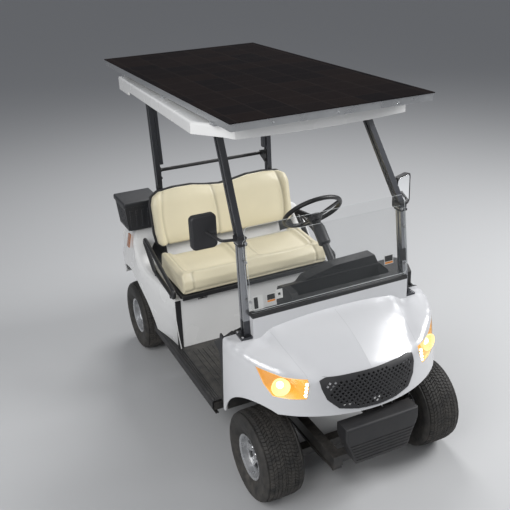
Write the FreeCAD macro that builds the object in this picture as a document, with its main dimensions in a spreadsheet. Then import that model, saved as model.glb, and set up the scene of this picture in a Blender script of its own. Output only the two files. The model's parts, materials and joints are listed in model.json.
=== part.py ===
import FreeCAD, Part
import math
import os
from types import SimpleNamespace

import Sketcher
from FreeCAD import Placement, Rotation, Vector

# Open two-seat golf cart with a solar roof. Millimetres, +Z up, wheels on Z = 0.
# The front faces -Y, the cart's left side is +X, X = 0 is the middle plane.
# The piece that takes most skill is the front cowl: one shell whose raised hood,
# lowered strut shoulders, lamp fenders and chin all come from one smooth surface.

doc = FreeCAD.newDocument("golf_cart")
sheet = doc.addObject("Spreadsheet::Sheet", "sizes")

SIZES = [
    # wheels and axles
    ("wheelbase", 1670), ("front_axle_y", -855), ("front_track", 900), ("rear_track", 980),
    ("tyre_radius", 228), ("tyre_width", 216), ("tyre_bead_radius", 106), ("tyre_bead_inset", 24),
    ("tyre_side_up", 60), ("tyre_shoulder", 24), ("rim_width", 182), ("rim_wall", 4), ("rim_lip", 9),
    ("rim_face_depth", 34), ("rim_spokes", 6),
    ("hub_bore_radius", 29),
    ("running_gap", 0.05),
    # ladder frame
    ("rail_spacing", 380), ("rail_wide", 50), ("rail_high", 60), ("rail_base_height", 215),
    ("rail_front_y", -1105), ("rail_rear_y", 1135), ("kick_start_y", 480), ("kick_end_y", 590),
    ("kick_rise", 115), ("cross_high", 40), ("cross_long", 50), ("outrigger_half_width", 345),
    # floor and sills
    ("floor_half_width", 498), ("floor_height", 292), ("floor_wall", 14), ("floor_front_y", -500),
    ("toe_top_y", -600), ("toe_top_height", 640), ("floor_rear_y", 148), ("mat_rib_high", 2.5),
    ("mat_rib_wide", 7), ("mat_rib_pitch", 30), ("mat_edge", 40),
    ("sill_wide", 56), ("sill_high", 84), ("sill_front_y", -425), ("sill_rear_y", 548),
    ("sill_groove_wide", 5), ("sill_groove_deep", 3), ("sill_groove_pitch", 12),
    ("sill_tuck", 16),
    # front cowl
    ("cowl_half_width", 580), ("cowl_rear_y", -660), ("cowl_depth", 482), ("cowl_wall", 4.5),
    ("cowl_lip", 34), ("crest_ahead", 112), ("crest_drop", 40), ("crease_x", 404),
    ("keel_fall", 26),
    ("cowl_base_height", 520), ("cowl_side_base_height", 400), ("hood_height", 880),
    ("shoulder_height", 800), ("brow_inset", 50), ("brow_half_width", 562),
    ("cowl_back_half_width", 500), ("arch_radius", 186), ("arch_height", 370),
    # grille and lamps
    ("grille_top_height", 690), ("grille_half_width", 246), ("grille_base_height", 541),
    ("grille_setback", 5), ("grille_wall", 3), ("mesh_pitch", 25), ("mesh_hole", 16.5),
    ("lamp_gap", 0.5), ("lens_wall", 3), ("lamp_bowl_wall", 3),
    # bumper
    ("bumper_half_width", 198), ("bumper_base_half_width", 140), ("bumper_top_height", 478),
    ("bumper_base_height", 268), ("bumper_front_y", -1190), ("bumper_depth", 85),
    ("bumper_wall", 7), ("bumper_rib_pitch", 17), ("bumper_rib_deep", 4), ("bumper_ribs", 6),
    # dashboard and steering
    ("dash_half_width", 545), ("dash_wall", 5), ("dash_top_height", 905), ("dash_face_y", -432),
    ("dash_step_x", -160), ("dash_slope_height", 806), ("dash_slope_side", 0.269),
    ("dash_slope_rear", 0.708), ("bin_far_x", 480), ("bin_near_x", 292), ("bin_long", 122),
    ("bin_floor_height", 690), ("trough_deep", 150), ("trough_long", 104), ("trough_reach", 420),
    ("shelf_wide", 155), ("shelf_deep", 130), ("shelf_high", 108), ("shelf_drop", 186),
    ("dash_lid_wide", 146), ("dash_lid_high", 78), ("lid_groove", 4),
    ("cup_x", -228), ("cup_radius", 37), ("cup_deep", 62), ("hump_long", 70),
    ("column_radius", 21), ("wheel_side", 266), ("wheel_centre_y", -54),
    ("wheel_height", 1076), ("column_angle", 45), ("column_long", 540), ("wheel_rim_radius", 168),
    ("wheel_grip_radius", 12.5), ("wheel_hub_radius", 46), ("wheel_dish", 38),
    # windscreen and struts
    ("screen_half_width", 440), ("screen_base_y", -722), ("screen_base_height", 918),
    ("screen_fold_y", -676), ("screen_fold_height", 1278), ("screen_wall", 5),
    ("screen_step", 12), ("fold_base_height", 935),
    ("strut_wide", 30), ("strut_long", 44), ("strut_groove", 6), ("strut_foot_x", 452),
    ("strut_foot_y", -688), ("strut_foot_height", 790), ("strut_top_x", 402), ("strut_bend_x", 440),
    ("strut_bend_y", -646), ("strut_bend_height", 1272), ("strut_bend_radius", 90),
    ("strut_top_y", -366), ("strut_plate", 82), ("strut_plate_wall", 15),
    ("rear_strut_x", 372), ("rear_strut_foot_y", 722), ("rear_strut_foot_height", 834),
    ("rear_strut_top_x", 386), ("rear_strut_top_y", 758), ("brace_wide", 20), ("brace_long", 30),
    ("brace_gap", 4),
    # roof and solar panel
    ("roof_rear_half_width", 528), ("roof_front_half_width", 568), ("roof_rear_y", 838),
    ("roof_corner_y", -455), ("roof_nose_y", -694), ("roof_nose_half_width", 440),
    ("roof_base_height", 1740), ("roof_high", 56), ("roof_wall", 6), ("roof_edge_radius", 12),
    ("grip_long", 205), ("grip_drop", 20),
    ("panel_half_width", 508), ("panel_front_y", -775), ("panel_rear_y", 1186),
    ("panel_base_height", 1808), ("panel_high", 34), ("panel_bar", 34), ("panel_wall", 3),
    ("panel_hole_radius", 7), ("glass_wall", 4), ("glass_overhang", 5), ("panel_foot", 46),
    # rear body
    ("body_front_y", 158), ("body_front_half_width", 530), ("body_half_width", 602),
    ("body_rear_y", 1152), ("body_wall", 5), ("body_sill_height", 292),
    ("body_tail_fall", 110), ("body_lean", 42), ("body_seat_height", 612),
    ("body_fender_height", 836), ("rear_arch_radius", 345),
    ("rear_arch_y", 805), ("rear_arch_height", 242), ("well_half_width", 366),
    ("well_front_y", 748), ("well_floor_height", 505), ("well_wall", 5),
    ("pod_half_width", 512), ("pod_wall", 5), ("pod_lean", 12),
    # seat
    ("seat_half_width", 478), ("seat_front_y", 128), ("seat_rear_y", 546), ("seat_pan_high", 22),
    ("cushion_high", 118), ("back_half_width", 478),
    ("back_base_y", 556), ("back_base_height", 778), ("back_high", 366), ("back_lean", 11),
    ("back_cushion_wall", 66), ("back_shell_wall", 16), ("fabric_gap", 0.4),
    ("arm_x", 528), ("arm_radius", 12), ("arm_front_y", 150), ("arm_front_height", 634),
    ("arm_low_y", 505), ("arm_low_height", 672),
    ("arm_rear_y", 712), ("arm_rear_height", 852),
    # power train, load bay and small pieces
    ("battery_half_width", 300), ("battery_front_y", 190), ("battery_long", 284),
    ("battery_high", 250), ("axle_tube_radius", 34), ("motor_radius", 88), ("motor_long", 222),
    ("diff_radius", 96), ("spring_leaf_wide", 45), ("spring_leaf_wall", 7),
    ("kingpin_x", 378), ("kingpin_radius", 11), ("fork_reach", 72), ("steer_arm_long", 66), ("beam_high", 44),
    ("beam_long", 52), ("beam_base_height", 144),
    ("cooler_x", -488), ("cooler_y", 878), ("cooler_wide", 224), ("cooler_long", 226),
    ("cooler_base_height", 845.5), ("cooler_high", 160), ("cooler_wall", 12), ("cooler_taper", 14),
    ("cooler_lid_high", 28), ("cooler_lid_lip", 8),
    ("mirror_wide", 128), ("mirror_high", 168), ("mirror_deep", 34), ("mirror_x", 566),
    ("driver_mirror_x", 532),
    ("mirror_y", -520), ("mirror_height", 1293), ("mirror_corner", 22),
    ("tail_lamp_high", 84), ("tail_lamp_wide", 42), ("tail_lamp_y", 850),
    ("tail_lamp_proud", 4), ("pedal_wide", 74), ("pedal_high", 96),
    ("rack_height", 1196), ("rack_radius", 11),
]

for row, (alias, value) in enumerate(SIZES, start=1):
    sheet.set("A%d" % row, alias)
    sheet.set("B%d" % row, repr(value))
    sheet.setAlias("B%d" % row, alias)
doc.recompute()


class Size:
    """A cell of the sheet, or a sum or product of cells, with the text that binds it."""

    def __init__(self, value, text):
        self.value = float(value)
        self.text = text

    def __float__(self):
        return self.value

    def __add__(self, other):
        other = as_size(other)
        return Size(self.value + other.value, "(%s + %s)" % (self.text, other.text))

    def __sub__(self, other):
        other = as_size(other)
        return Size(self.value - other.value, "(%s - %s)" % (self.text, other.text))

    def __mul__(self, other):
        other = as_size(other)
        return Size(self.value * other.value, "(%s * %s)" % (self.text, other.text))

    def __truediv__(self, other):
        other = as_size(other)
        return Size(self.value / other.value, "(%s / %s)" % (self.text, other.text))

    def __neg__(self):
        return Size(-self.value, "(0 - %s)" % self.text)

    def __radd__(self, other):
        return as_size(other) + self

    def __rsub__(self, other):
        return as_size(other) - self

    def __rmul__(self, other):
        return as_size(other) * self


def as_size(value):
    if isinstance(value, Size):
        return value
    return Size(value, "%r" % float(value))


S = SimpleNamespace()
for alias, value in SIZES:
    setattr(S, alias, Size(value, "sizes.%s" % alias))
N = SimpleNamespace()
for alias, value in SIZES:
    setattr(N, alias, float(value))

rear_axle_y = S.front_axle_y + S.wheelbase
panel_top = S.panel_base_height + S.panel_high


def bind(item, name, size):
    """Give a property its value and tie it to the sheet."""
    size = as_size(size)
    item.setExpression(name, size.text)
    return size.value


def place(item, corner):
    for axis, size in zip("xyz", corner):
        bind(item, ".Placement.Base." + axis, size)


def box(name, corner, span):
    """Part::Box from its low corner and its span, all bound."""
    item = doc.addObject("Part::Box", name)
    for prop, size in zip(("Length", "Width", "Height"), span):
        bind(item, prop, size)
    place(item, corner)
    return item


TURN = {"x": Rotation(Vector(0, 1, 0), 90), "y": Rotation(Vector(1, 0, 0), -90), "z": Rotation()}


def cylinder(name, axis, start, radius, long):
    """Part::Cylinder that grows along +axis from start."""
    item = doc.addObject("Part::Cylinder", name)
    item.Placement = Placement(Vector(0, 0, 0), TURN[axis])
    bind(item, "Radius", radius)
    bind(item, "Height", long)
    place(item, start)
    return item


def fuse(name, pieces):
    item = doc.addObject("Part::MultiFuse", name)
    item.Shapes = pieces
    item.Refine = True
    return item


def cut(name, base, tools):
    item = doc.addObject("Part::Cut", name)
    item.Base = base
    item.Tool = tools[0] if len(tools) == 1 else fuse(name + "_tools", tools)
    item.Refine = True
    return item


def plane_of(body, role):
    return [feature for feature in body.Origin.OriginFeatures if feature.Role == role][0]


def sketch_on(body, name, role, lift=0):
    """Sketch on one of the body's origin planes, moved along its normal by lift."""
    sketch = body.newObject("Sketcher::SketchObject", name)
    sketch.AttachmentSupport = [(plane_of(body, role), "")]
    sketch.MapMode = "FlatFace"
    bind(sketch, ".AttachmentOffset.Base.z", lift)
    return sketch


def polygon(sketch, corners):
    """Closed outline whose every corner is held to the sheet by two distances."""
    corners = [(as_size(across), as_size(up)) for across, up in corners]
    count = len(corners)
    first = sketch.GeometryCount
    for index in range(count):
        start = corners[index]
        stop = corners[(index + 1) % count]
        sketch.addGeometry(Part.LineSegment(Vector(float(start[0]), float(start[1]), 0),
                                            Vector(float(stop[0]), float(stop[1]), 0)))
    for index in range(count):
        following = first + (index + 1) % count
        sketch.addConstraint(Sketcher.Constraint("Coincident", first + index, 2, following, 1))
    for index, corner in enumerate(corners):
        for kind, size in zip(("DistanceX", "DistanceY"), corner):
            number = sketch.addConstraint(Sketcher.Constraint(
                kind, -1, 1, first + index, 1, float(size)))
            sketch.setExpression("Constraints[%d]" % number, size.text)


def new_body(name):
    return doc.addObject("PartDesign::Body", name)


def pad(body, sketch, long, middle=True):
    feature = body.newObject("PartDesign::Pad", "pad")
    feature.Profile = sketch
    bind(feature, "Length", long)
    feature.Midplane = middle
    body.Tip = feature
    return feature


def pocket(body, sketch, long, middle=True):
    feature = body.newObject("PartDesign::Pocket", "pocket")
    feature.Profile = sketch
    bind(feature, "Length", long)
    feature.Midplane = middle
    body.Tip = feature
    return feature


def side_pad(name, corners, long, offset=0):
    """Body padded along X from an outline in the YZ plane, middle at X = offset."""
    body = new_body(name)
    sketch = sketch_on(body, name + "_outline", "YZ_Plane")
    polygon(sketch, corners)
    pad(body, sketch, long)
    place(body, (offset, 0, 0))
    return body


def turned(name, corners, axis="V_Axis", role="XZ_Plane"):
    """Body turned about one of its sketch's own axes."""
    body = new_body(name)
    sketch = sketch_on(body, name + "_outline", role)
    polygon(sketch, corners)
    feature = body.newObject("PartDesign::Revolution", "turning")
    feature.Profile = sketch
    feature.ReferenceAxis = (sketch, [axis])
    feature.Angle = 360
    body.Tip = feature
    return body


def round_edges(body, base, radius, wanted):
    """PartDesign fillet on the edges of base that wanted picks."""
    doc.recompute()
    names = ["Edge%d" % number for number, edge in enumerate(base.Shape.Edges, start=1)
             if wanted(edge)]
    feature = body.newObject("PartDesign::Fillet", "rounding")
    feature.Base = (base, names)
    bind(feature, "Radius", radius)
    body.Tip = feature
    return feature


def shaped(name, shape):
    item = doc.addObject("Part::Feature", name)
    item.Shape = shape
    return item


def surface_through(rows):
    """B-spline face along a grid of points, with as few spans as will hold them."""
    surface = Part.BSplineSurface()
    surface.approximate(Points=rows, DegMin=3, DegMax=8, Continuity=2, Tolerance=1.0)
    return surface


def skin(grid, wall):
    """Solid between a grid surface and its own offset, on the inner side by the wall."""
    outside = surface_through(grid).toShape()
    solid = outside.makeOffsetShape(-wall, 0.01, fill=True)
    if solid.Volume < 0:
        solid.reverse()
    return solid


def normal_at(grid, i, j):
    last = len(grid) - 1
    row = grid[i]
    up = grid[min(i + 1, last)][j] - grid[max(i - 1, 0)][j]
    across = row[min(j + 1, len(row) - 1)] - row[max(j - 1, 0)]
    normal = across.cross(up)
    if normal.Length < 0.05 * up.Length * across.Length:
        return normal_at(grid, min(max(i, 1), last - 1), min(max(j, 1), len(row) - 2))
    return normal.normalize()


def moved_inwards(grid, wall):
    """The grid offset along its own normals, taken from neighbouring points."""
    return [[point - normal_at(grid, i, j) * wall for j, point in enumerate(row)]
            for i, row in enumerate(grid)]


def finish(item, name):
    """Name the sub-part that is written to its own file."""
    item.Label = name
    NODES.append(item)
    return item


NODES = []


def tube_path(points, bend):
    """Wire of straight runs joined by arcs of the bend radius."""
    points = [Vector(*[float(size) for size in point]) for point in points]
    edges = []
    start = points[0]
    for before, corner, after in zip(points, points[1:], points[2:]):
        back = (before - corner).normalize()
        ahead = (after - corner).normalize()
        half = back.getAngle(ahead) / 2
        reach = float(bend) / math.tan(half)
        first = corner + back * reach
        last = corner + ahead * reach
        middle = corner + (back + ahead).normalize() * (float(bend) / math.sin(half) - float(bend))
        edges.append(Part.LineSegment(start, first).toShape())
        edges.append(Part.Arc(first, middle, last).toShape())
        start = last
    edges.append(Part.LineSegment(start, points[-1]).toShape())
    return Part.Wire(edges)


def bent_tube(points, radius, bend):
    path = tube_path(points, bend)
    start = path.Edges[0]
    ring = Part.makeCircle(float(radius), start.valueAt(start.FirstParameter),
                           start.tangentAt(start.FirstParameter))
    return path.makePipeShell([Part.Wire([ring])], True, False)


def swept_section(points, bend, section):
    """Sweep a closed section, given as (across, ahead) pairs, along a bent path."""
    path = tube_path(points, bend)
    start = path.Edges[0]
    origin = start.valueAt(start.FirstParameter)
    corners = [origin + Vector(across, ahead, 0) for across, ahead in section]
    wire = Part.makePolygon(corners + corners[:1])
    return path.makePipeShell([wire], True, False)


def prism(outline, start, reach):
    """Solid from an (x, z) outline at Y = start, run along +Y by reach."""
    corners = [Vector(across, start, up) for across, up in outline]
    face = Part.Face(Part.makePolygon(corners + corners[:1]))
    return face.extrude(Vector(0, reach, 0))


def shrunk(outline, gap):
    """An (x, z) outline moved inwards by the gap."""
    wire = Part.makePolygon([Vector(across, up, 0) for across, up in outline + outline[:1]])
    inner = wire.makeOffset2D(-gap, 2)
    return [(vertex.Point.x, vertex.Point.y) for vertex in inner.OrderedVertexes]


def mirrored(shape):
    return shape.mirror(Vector(0, 0, 0), Vector(1, 0, 0))


# Wheels: tyre and rim turned about the wheel's own X axis, outer face towards +X.

def make_tyre(name):
    half = S.tyre_width / 2
    bead = half - S.tyre_bead_inset
    side = S.tyre_bead_radius + S.tyre_side_up
    shoulder = S.tyre_radius - S.tyre_shoulder
    right = [(bead, S.tyre_bead_radius), (half - 2, side), (half - 3, shoulder),
             (half - 27, S.tyre_radius - 6)]
    left = [(-across, radius) for across, radius in reversed(right)]
    return turned(name, right + [(0, S.tyre_radius)] + left, "H_Axis")


def make_rim(name):
    half = S.rim_width / 2
    seat = S.tyre_bead_radius
    lip = seat + S.rim_lip
    wall = S.rim_wall
    face = half - S.rim_face_depth
    bore = S.hub_bore_radius
    back = face - 68
    corners = [
        (-half, lip), (1.5 - half, lip), (7 - half, seat), (half - 7, seat), (half - 1.5, lip),
        (half, lip), (half - 4, seat - wall), (face, seat - wall - 3), (face, 74),
        (face - 13, 44), (face - 4, 26), (face - 4, 0), (face - 16, 0), (face - 16, bore),
        (back, bore), (back, bore + 9), (face - 26, bore + 12), (face - 8, 74),
        (face - 12, seat - wall - 3), (4 - half, seat - wall)]
    body = turned(name, corners, "H_Axis")
    window = sketch_on(body, name + "_window", "YZ_Plane")
    polygon(window, [(-11, 52), (11, 52), (24, 84), (-24, 84)])
    opening = pocket(body, window, S.rim_width)
    pattern = body.newObject("PartDesign::PolarPattern", "windows")
    pattern.Originals = [opening]
    pattern.Axis = (window, ["N_Axis"])
    pattern.Angle = 360
    bind(pattern, "Occurrences", S.rim_spokes)
    body.Tip = pattern
    return body


def stand_wheel(item, side, track, axle_y):
    """Put a wheel piece on its axle, its outer face to the cart's side."""
    if side < 0:
        item.Placement = Placement(Vector(0, 0, 0), Rotation(Vector(0, 0, 1), 180))
    place(item, (track / 2 * side, axle_y, S.tyre_radius))


WHEELS = [("fl", 1, S.front_track, S.front_axle_y), ("fr", -1, S.front_track, S.front_axle_y),
          ("rl", 1, S.rear_track, rear_axle_y), ("rr", -1, S.rear_track, rear_axle_y)]
for corner, side, track, axle_y in WHEELS:
    for make, kind in ((make_tyre, "tyre"), (make_rim, "rim")):
        piece = make(kind + "_" + corner)
        stand_wheel(piece, side, track, axle_y)
        finish(piece, kind + "_" + corner)


# Ladder frame with a kick-up over the rear axle, cross members and outriggers.

def make_frame():
    low = S.rail_base_height
    high = low + S.rail_high
    outline = [(S.rail_front_y, low), (S.kick_start_y, low), (S.kick_end_y, low + S.kick_rise),
               (S.rail_rear_y, low + S.kick_rise), (S.rail_rear_y, high + S.kick_rise),
               (S.kick_end_y - 12, high + S.kick_rise), (S.kick_start_y - 12, high),
               (S.rail_front_y, high)]
    pieces = [side_pad("rail_left", outline, S.rail_wide, S.rail_spacing / 2),
              side_pad("rail_right", outline, S.rail_wide, -S.rail_spacing / 2)]
    level = high - S.cross_high
    raised = level + S.kick_rise - 10
    reach = S.floor_half_width + S.sill_wide - 11
    rear_reach = S.outrigger_half_width
    for name, start, base, half in (
            ("cross_front", S.rail_front_y, level, S.rail_spacing / 2),
            ("cross_toe", S.floor_front_y + 70, level, reach),
            ("cross_middle", S.kick_start_y - 110, level, reach),
            ("cross_axle", S.kick_end_y + 8, raised, rear_reach),
            ("cross_rear", S.rail_rear_y - 75, raised, rear_reach)):
        pieces.append(box(name, (-half, start, base), (half * 2, S.cross_long, S.cross_high)))
    pieces.append(box("bumper_stay", (-S.bumper_base_half_width + 20, S.rail_front_y - 20, high),
                      (S.bumper_base_half_width * 2 - 40, 20, 110)))
    pieces.append(box("bumper_horn_left", (85, S.bumper_front_y + S.bumper_wall, high + 60),
                      (30, S.rail_front_y - S.bumper_front_y - S.bumper_wall, 30)))
    pieces.append(box("bumper_horn_right", (-115, S.bumper_front_y + S.bumper_wall, high + 60),
                      (30, S.rail_front_y - S.bumper_front_y - S.bumper_wall, 30)))
    return fuse("frame", pieces)


finish(make_frame(), "frame_rails")


# Floor pan that bends up into the toe board, with raised ribs on its mat.

def make_floor():
    wall = S.floor_wall
    top = S.floor_height
    rear = S.kick_start_y - 14
    outline = [(rear, top), (S.floor_front_y, top), (S.toe_top_y, S.toe_top_height),
               (S.toe_top_y - wall, S.toe_top_height), (S.floor_front_y - wall * 0.75, top - wall),
               (rear, top - wall)]
    body = side_pad("floor_body", outline, S.floor_half_width * 2)
    rib = sketch_on(body, "mat_rib", "XY_Plane", top - 1)
    start = -S.floor_half_width + S.mat_edge
    rear_edge = S.floor_rear_y - S.mat_edge
    front_edge = S.floor_front_y + 20
    polygon(rib, [(start, front_edge), (start + S.mat_rib_wide, front_edge),
                  (start + S.mat_rib_wide, rear_edge), (start, rear_edge)])
    ridge = pad(body, rib, S.mat_rib_high + 1, False)
    pattern = body.newObject("PartDesign::LinearPattern", "mat_ribs")
    pattern.Originals = [ridge]
    pattern.Direction = (rib, ["H_Axis"])
    span = S.floor_half_width * 2 - S.mat_edge * 2 - S.mat_rib_wide
    bind(pattern, "Length", span)
    pattern.setExpression("Occurrences", "floor(%s / sizes.mat_rib_pitch) + 1" % span.text)
    body.Tip = pattern
    return body


finish(make_floor(), "floor_panel")


# Sills: hollow step mouldings with grooved treads.

def make_sill(name, side):
    inner = S.floor_half_width
    outer = inner + S.sill_wide
    top = S.floor_height
    low = top - S.sill_high
    wall = 6
    corners = [(inner, top)]
    for groove in range(3):
        edge = inner + 10 + S.sill_groove_pitch * groove
        corners += [(edge, top), (edge, top - S.sill_groove_deep),
                    (edge + S.sill_groove_wide, top - S.sill_groove_deep),
                    (edge + S.sill_groove_wide, top)]
    corners += [(outer - 8, top), (outer, top - 8), (outer, top - 50), (outer - S.sill_tuck, low),
                (inner + 22, low), (inner + 22, low + wall), (outer - S.sill_tuck - 3, low + wall),
                (outer - wall, top - 50), (outer - wall, top - 11), (outer - 11, top - wall),
                (inner, top - wall)]
    body = new_body(name + "_body")
    outline = sketch_on(body, name + "_outline", "XZ_Plane")
    polygon(outline, [(across * side, up) for across, up in corners])
    pad(body, outline, S.sill_rear_y - S.sill_front_y)
    place(body, (0, (S.sill_rear_y + S.sill_front_y) / 2, 0))
    return body


finish(make_sill("sill_l", 1), "sill_left")
finish(make_sill("sill_r", -1), "sill_right")


# Bumper: a hollow tapered block with rounded edges and a ribbed lower face.

def make_bumper():
    body = new_body("bumper_body")
    face = sketch_on(body, "bumper_face", "XZ_Plane")
    wide = S.bumper_half_width
    narrow = S.bumper_base_half_width
    top = S.bumper_top_height
    low = S.bumper_base_height
    polygon(face, [(-narrow, low), (narrow, low), (wide, top - 60), (wide, top), (-wide, top),
                   (-wide, top - 60)])
    block = pad(body, face, S.bumper_depth)

    def front(edge):
        return edge.BoundBox.YMax < -float(S.bumper_depth) / 2 + 1
    rounded = round_edges(body, block, 14, front)
    hollow = sketch_on(body, "bumper_hollow", "XZ_Plane", -S.bumper_wall)
    wall = S.bumper_wall
    polygon(hollow, [(-narrow + wall, low + wall), (narrow - wall, low + wall),
                     (wide - wall, top - 60), (wide - wall, top - wall), (-wide + wall, top - wall),
                     (-wide + wall, top - 60)])
    pocket(body, hollow, S.bumper_depth)
    rib = sketch_on(body, "bumper_rib", "YZ_Plane")
    edge = -S.bumper_depth / 2
    polygon(rib, [(edge - 1, low + 22), (edge + S.bumper_rib_deep, low + 24),
                  (edge + S.bumper_rib_deep, low + 28), (edge - 1, low + 30)])
    groove = pocket(body, rib, S.bumper_half_width * 2)
    pattern = body.newObject("PartDesign::LinearPattern", "bumper_grooves")
    pattern.Originals = [groove]
    pattern.Direction = (rib, ["V_Axis"])
    bind(pattern, "Length", S.bumper_rib_pitch * (S.bumper_ribs - 1))
    bind(pattern, "Occurrences", S.bumper_ribs)
    body.Tip = pattern
    place(body, (0, S.bumper_front_y + S.bumper_depth / 2, 0))
    return body


finish(make_bumper(), "front_bumper")


# Front cowl: one smooth surface, taken inwards by its wall.

def smooth(value):
    value = min(max(value, 0.0), 1.0)
    return value * value * (3 - 2 * value)


def cowl_top(across, along_y):
    """Height of the upper surface at a point: a hood that falls away from a curved
    crest and keel, and a lower, fuller fender beyond the crease."""
    back = N.cowl_rear_y - along_y
    crest = N.crest_ahead - (N.crest_ahead - 20) * (across / N.crease_x) ** 2
    ahead = back - max(crest, 20)
    if ahead < 0:
        hood = N.hood_height - N.crest_drop * max(back, 0) / max(crest, 20)
    else:
        hood = N.hood_height - N.crest_drop - 0.22 * ahead - 0.00076 * ahead * ahead
    hood -= N.keel_fall * min(max(ahead, 0) / 200, 1) * across / 330
    fender = N.shoulder_height - 0.06 * back - 0.00055 * back * back
    blend = 18 + 12 * min(max(back, 0) / 200, 1)
    share = smooth((across - N.crease_x + 0.3 * back + blend) / (2 * blend))
    return hood * (1 - share) + fender * share


def even_points(points, count):
    """Evenly spaced points on the smooth curve through the given ones."""
    curve = Part.BSplineCurve()
    curve.interpolate(points)
    return curve.toShape().discretize(Number=count)


def cowl_grid():
    """Points of the left half, carried a little over the middle plane."""
    rows = []
    for angle in range(-8, 91, 7):
        turn = math.sin(math.radians(angle))
        ahead = math.cos(math.radians(angle))
        lowered = smooth((angle - 58) / 32)
        base = N.cowl_base_height + (N.cowl_side_base_height - N.cowl_base_height) * lowered
        foot = Vector(N.cowl_half_width * turn, N.cowl_rear_y - N.cowl_depth * ahead, base)
        brow = Vector(N.brow_half_width * turn,
                      N.cowl_rear_y - (N.cowl_depth - N.brow_inset) * ahead, 0)
        brow.z = cowl_top(brow.x, brow.y)
        tail = Vector(N.cowl_back_half_width * turn, N.cowl_rear_y + N.cowl_lip, 0)
        tail.z = cowl_top(tail.x, tail.y)
        line = [foot + (brow - foot) * share for share in (0, 0.3, 0.6, 0.85)]
        upper = []
        for share in (0.12, 0.28, 0.44, 0.58, 0.68, 0.78, 0.89, 1):
            point = brow + (tail - brow) * share
            point.z = cowl_top(point.x, point.y)
            upper.append(point)
        corner = line[-1] * 0.25 + brow * 0.5 + upper[0] * 0.25
        rows.append(even_points(line + [corner] + upper, 22))
    return rows


def both_sides(shape):
    """The shape's left half and its mirror image, joined on the middle plane."""
    left = shape.common(Part.makeBox(900, 2000, 2000, Vector(0, -1600, 0)))
    return left.fuse(mirrored(left)).removeSplitter()


def grille_outline():
    """Smile-shaped (x, z) outline under the nose."""
    wide = N.grille_half_width
    top = N.grille_top_height
    low = N.grille_base_height
    right = [(wide, top - 10), (wide - 2, top - 45), (wide - 18, top - 92), (wide - 60, low + 18),
             (wide / 2.4, low + 4)]
    left = [(-across, up) for across, up in reversed(right)]
    return [(0, top - 4)] + right + [(0, low)] + left


def lamp_outline():
    """(x, z) outline of the left lamp's opening in the fender."""
    return [(492, 737), (400, 704), (300, 690), (303, 650), (318, 600), (380, 598), (446, 604),
            (474, 660)]


FRONT = N.cowl_rear_y - N.cowl_depth - 60


def make_cowl(grid):
    shape = both_sides(skin(grid, N.cowl_wall))
    arch = Part.makeCylinder(N.arch_radius, 300, Vector(330, N.front_axle_y - 12, N.arch_height),
                             Vector(1, 0, 0))
    lamp = prism(lamp_outline(), FRONT, 400)
    grille = prism(grille_outline(), FRONT, 130)
    return shape.cut([arch, mirrored(arch), lamp, mirrored(lamp), grille])


cowl_points = cowl_grid()
finish(shaped("cowl", make_cowl(cowl_points)), "front_cowl")


def make_grille(grid):
    """Mesh plate behind the cowl's mouth, its diamond holes in staggered rows."""
    plate = both_sides(skin(moved_inwards(grid, N.grille_setback), N.grille_wall))
    plate = plate.common(prism(shrunk(grille_outline(), -8), FRONT, 160))
    pitch = N.mesh_pitch
    reach = N.mesh_hole / 2
    holes = []
    inside = Part.Face(Part.makePolygon([Vector(across, 0, up) for across, up in
                                         grille_outline() + grille_outline()[:1]]))
    rows = int((N.grille_top_height - N.grille_base_height) / (pitch / 2))
    columns = int(N.grille_half_width / pitch) + 1
    for row in range(rows):
        up = N.grille_base_height + 11 + row * pitch / 2
        for column in range(-columns, columns + 1):
            across = (column + 0.5 * (row % 2)) * pitch
            corners = [(across + reach, up), (across, up + reach * 0.8), (across - reach, up),
                       (across, up - reach * 0.8)]
            if all(inside.isInside(Vector(x * 1.03, 0, z), 1e-3, True) for x, z in corners):
                holes.append(prism(corners, FRONT, 160))
    return plate.cut(holes)


finish(shaped("mesh", make_grille(cowl_points)), "grille")


def make_lamps(grid):
    """The left lamp: a clear lens flush in its opening and a bowl behind it."""
    outline = shrunk(lamp_outline(), N.lamp_gap)
    lens = skin(moved_inwards(grid, 1), N.lens_wall).common(prism(outline, FRONT, 400))
    outside = skin(moved_inwards(grid, N.lens_wall + 4), -160)
    back = N.cowl_rear_y - 175
    bowl = prism(outline, FRONT, back - FRONT)
    bowl = bowl.cut(prism(shrunk(outline, N.lamp_bowl_wall), FRONT, back - 3 - FRONT))
    bowl = max(bowl.cut([outside, lens]).Solids, key=lambda solid: solid.CenterOfMass.y)
    return lens, bowl


lens, bowl = make_lamps(cowl_points)
for name, shape in (("headlamp_left", bowl), ("headlamp_lens_left", lens)):
    finish(shaped(name, shape), name)
for name, shape in (("headlamp_right", bowl), ("headlamp_lens_right", lens)):
    finish(shaped(name, mirrored(shape)), name)


# Knuckles: kingpin sleeve, spindle and steering arm in one forging.

def make_knuckle(name, side):
    inner = S.kingpin_x - 24
    height = S.tyre_radius
    sleeve = cylinder(name + "_sleeve", "z", (S.kingpin_x * side, S.front_axle_y, height - 38),
                      24, 72)
    reach = S.front_track / 2 + S.rim_width / 2 - S.rim_face_depth - 18 - S.kingpin_x
    start = S.kingpin_x if side > 0 else -S.kingpin_x - reach
    spindle = cylinder(name + "_spindle", "x", (start, S.front_axle_y, height),
                       S.hub_bore_radius - S.running_gap, reach)
    arm_start = inner if side > 0 else -inner - 16
    arm = box(name + "_arm", (arm_start, S.front_axle_y, height - 30), (16, S.steer_arm_long, 14))
    solid = fuse(name + "_forging", [sleeve, spindle, arm])
    bore = cylinder(name + "_bore", "z", (S.kingpin_x * side, S.front_axle_y, height - 80),
                    S.kingpin_radius + S.running_gap, 160)
    return cut(name + "_piece", solid, [bore])


finish(make_knuckle("knuckle_l", 1), "knuckle_left")
finish(make_knuckle("knuckle_r", -1), "knuckle_right")


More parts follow.
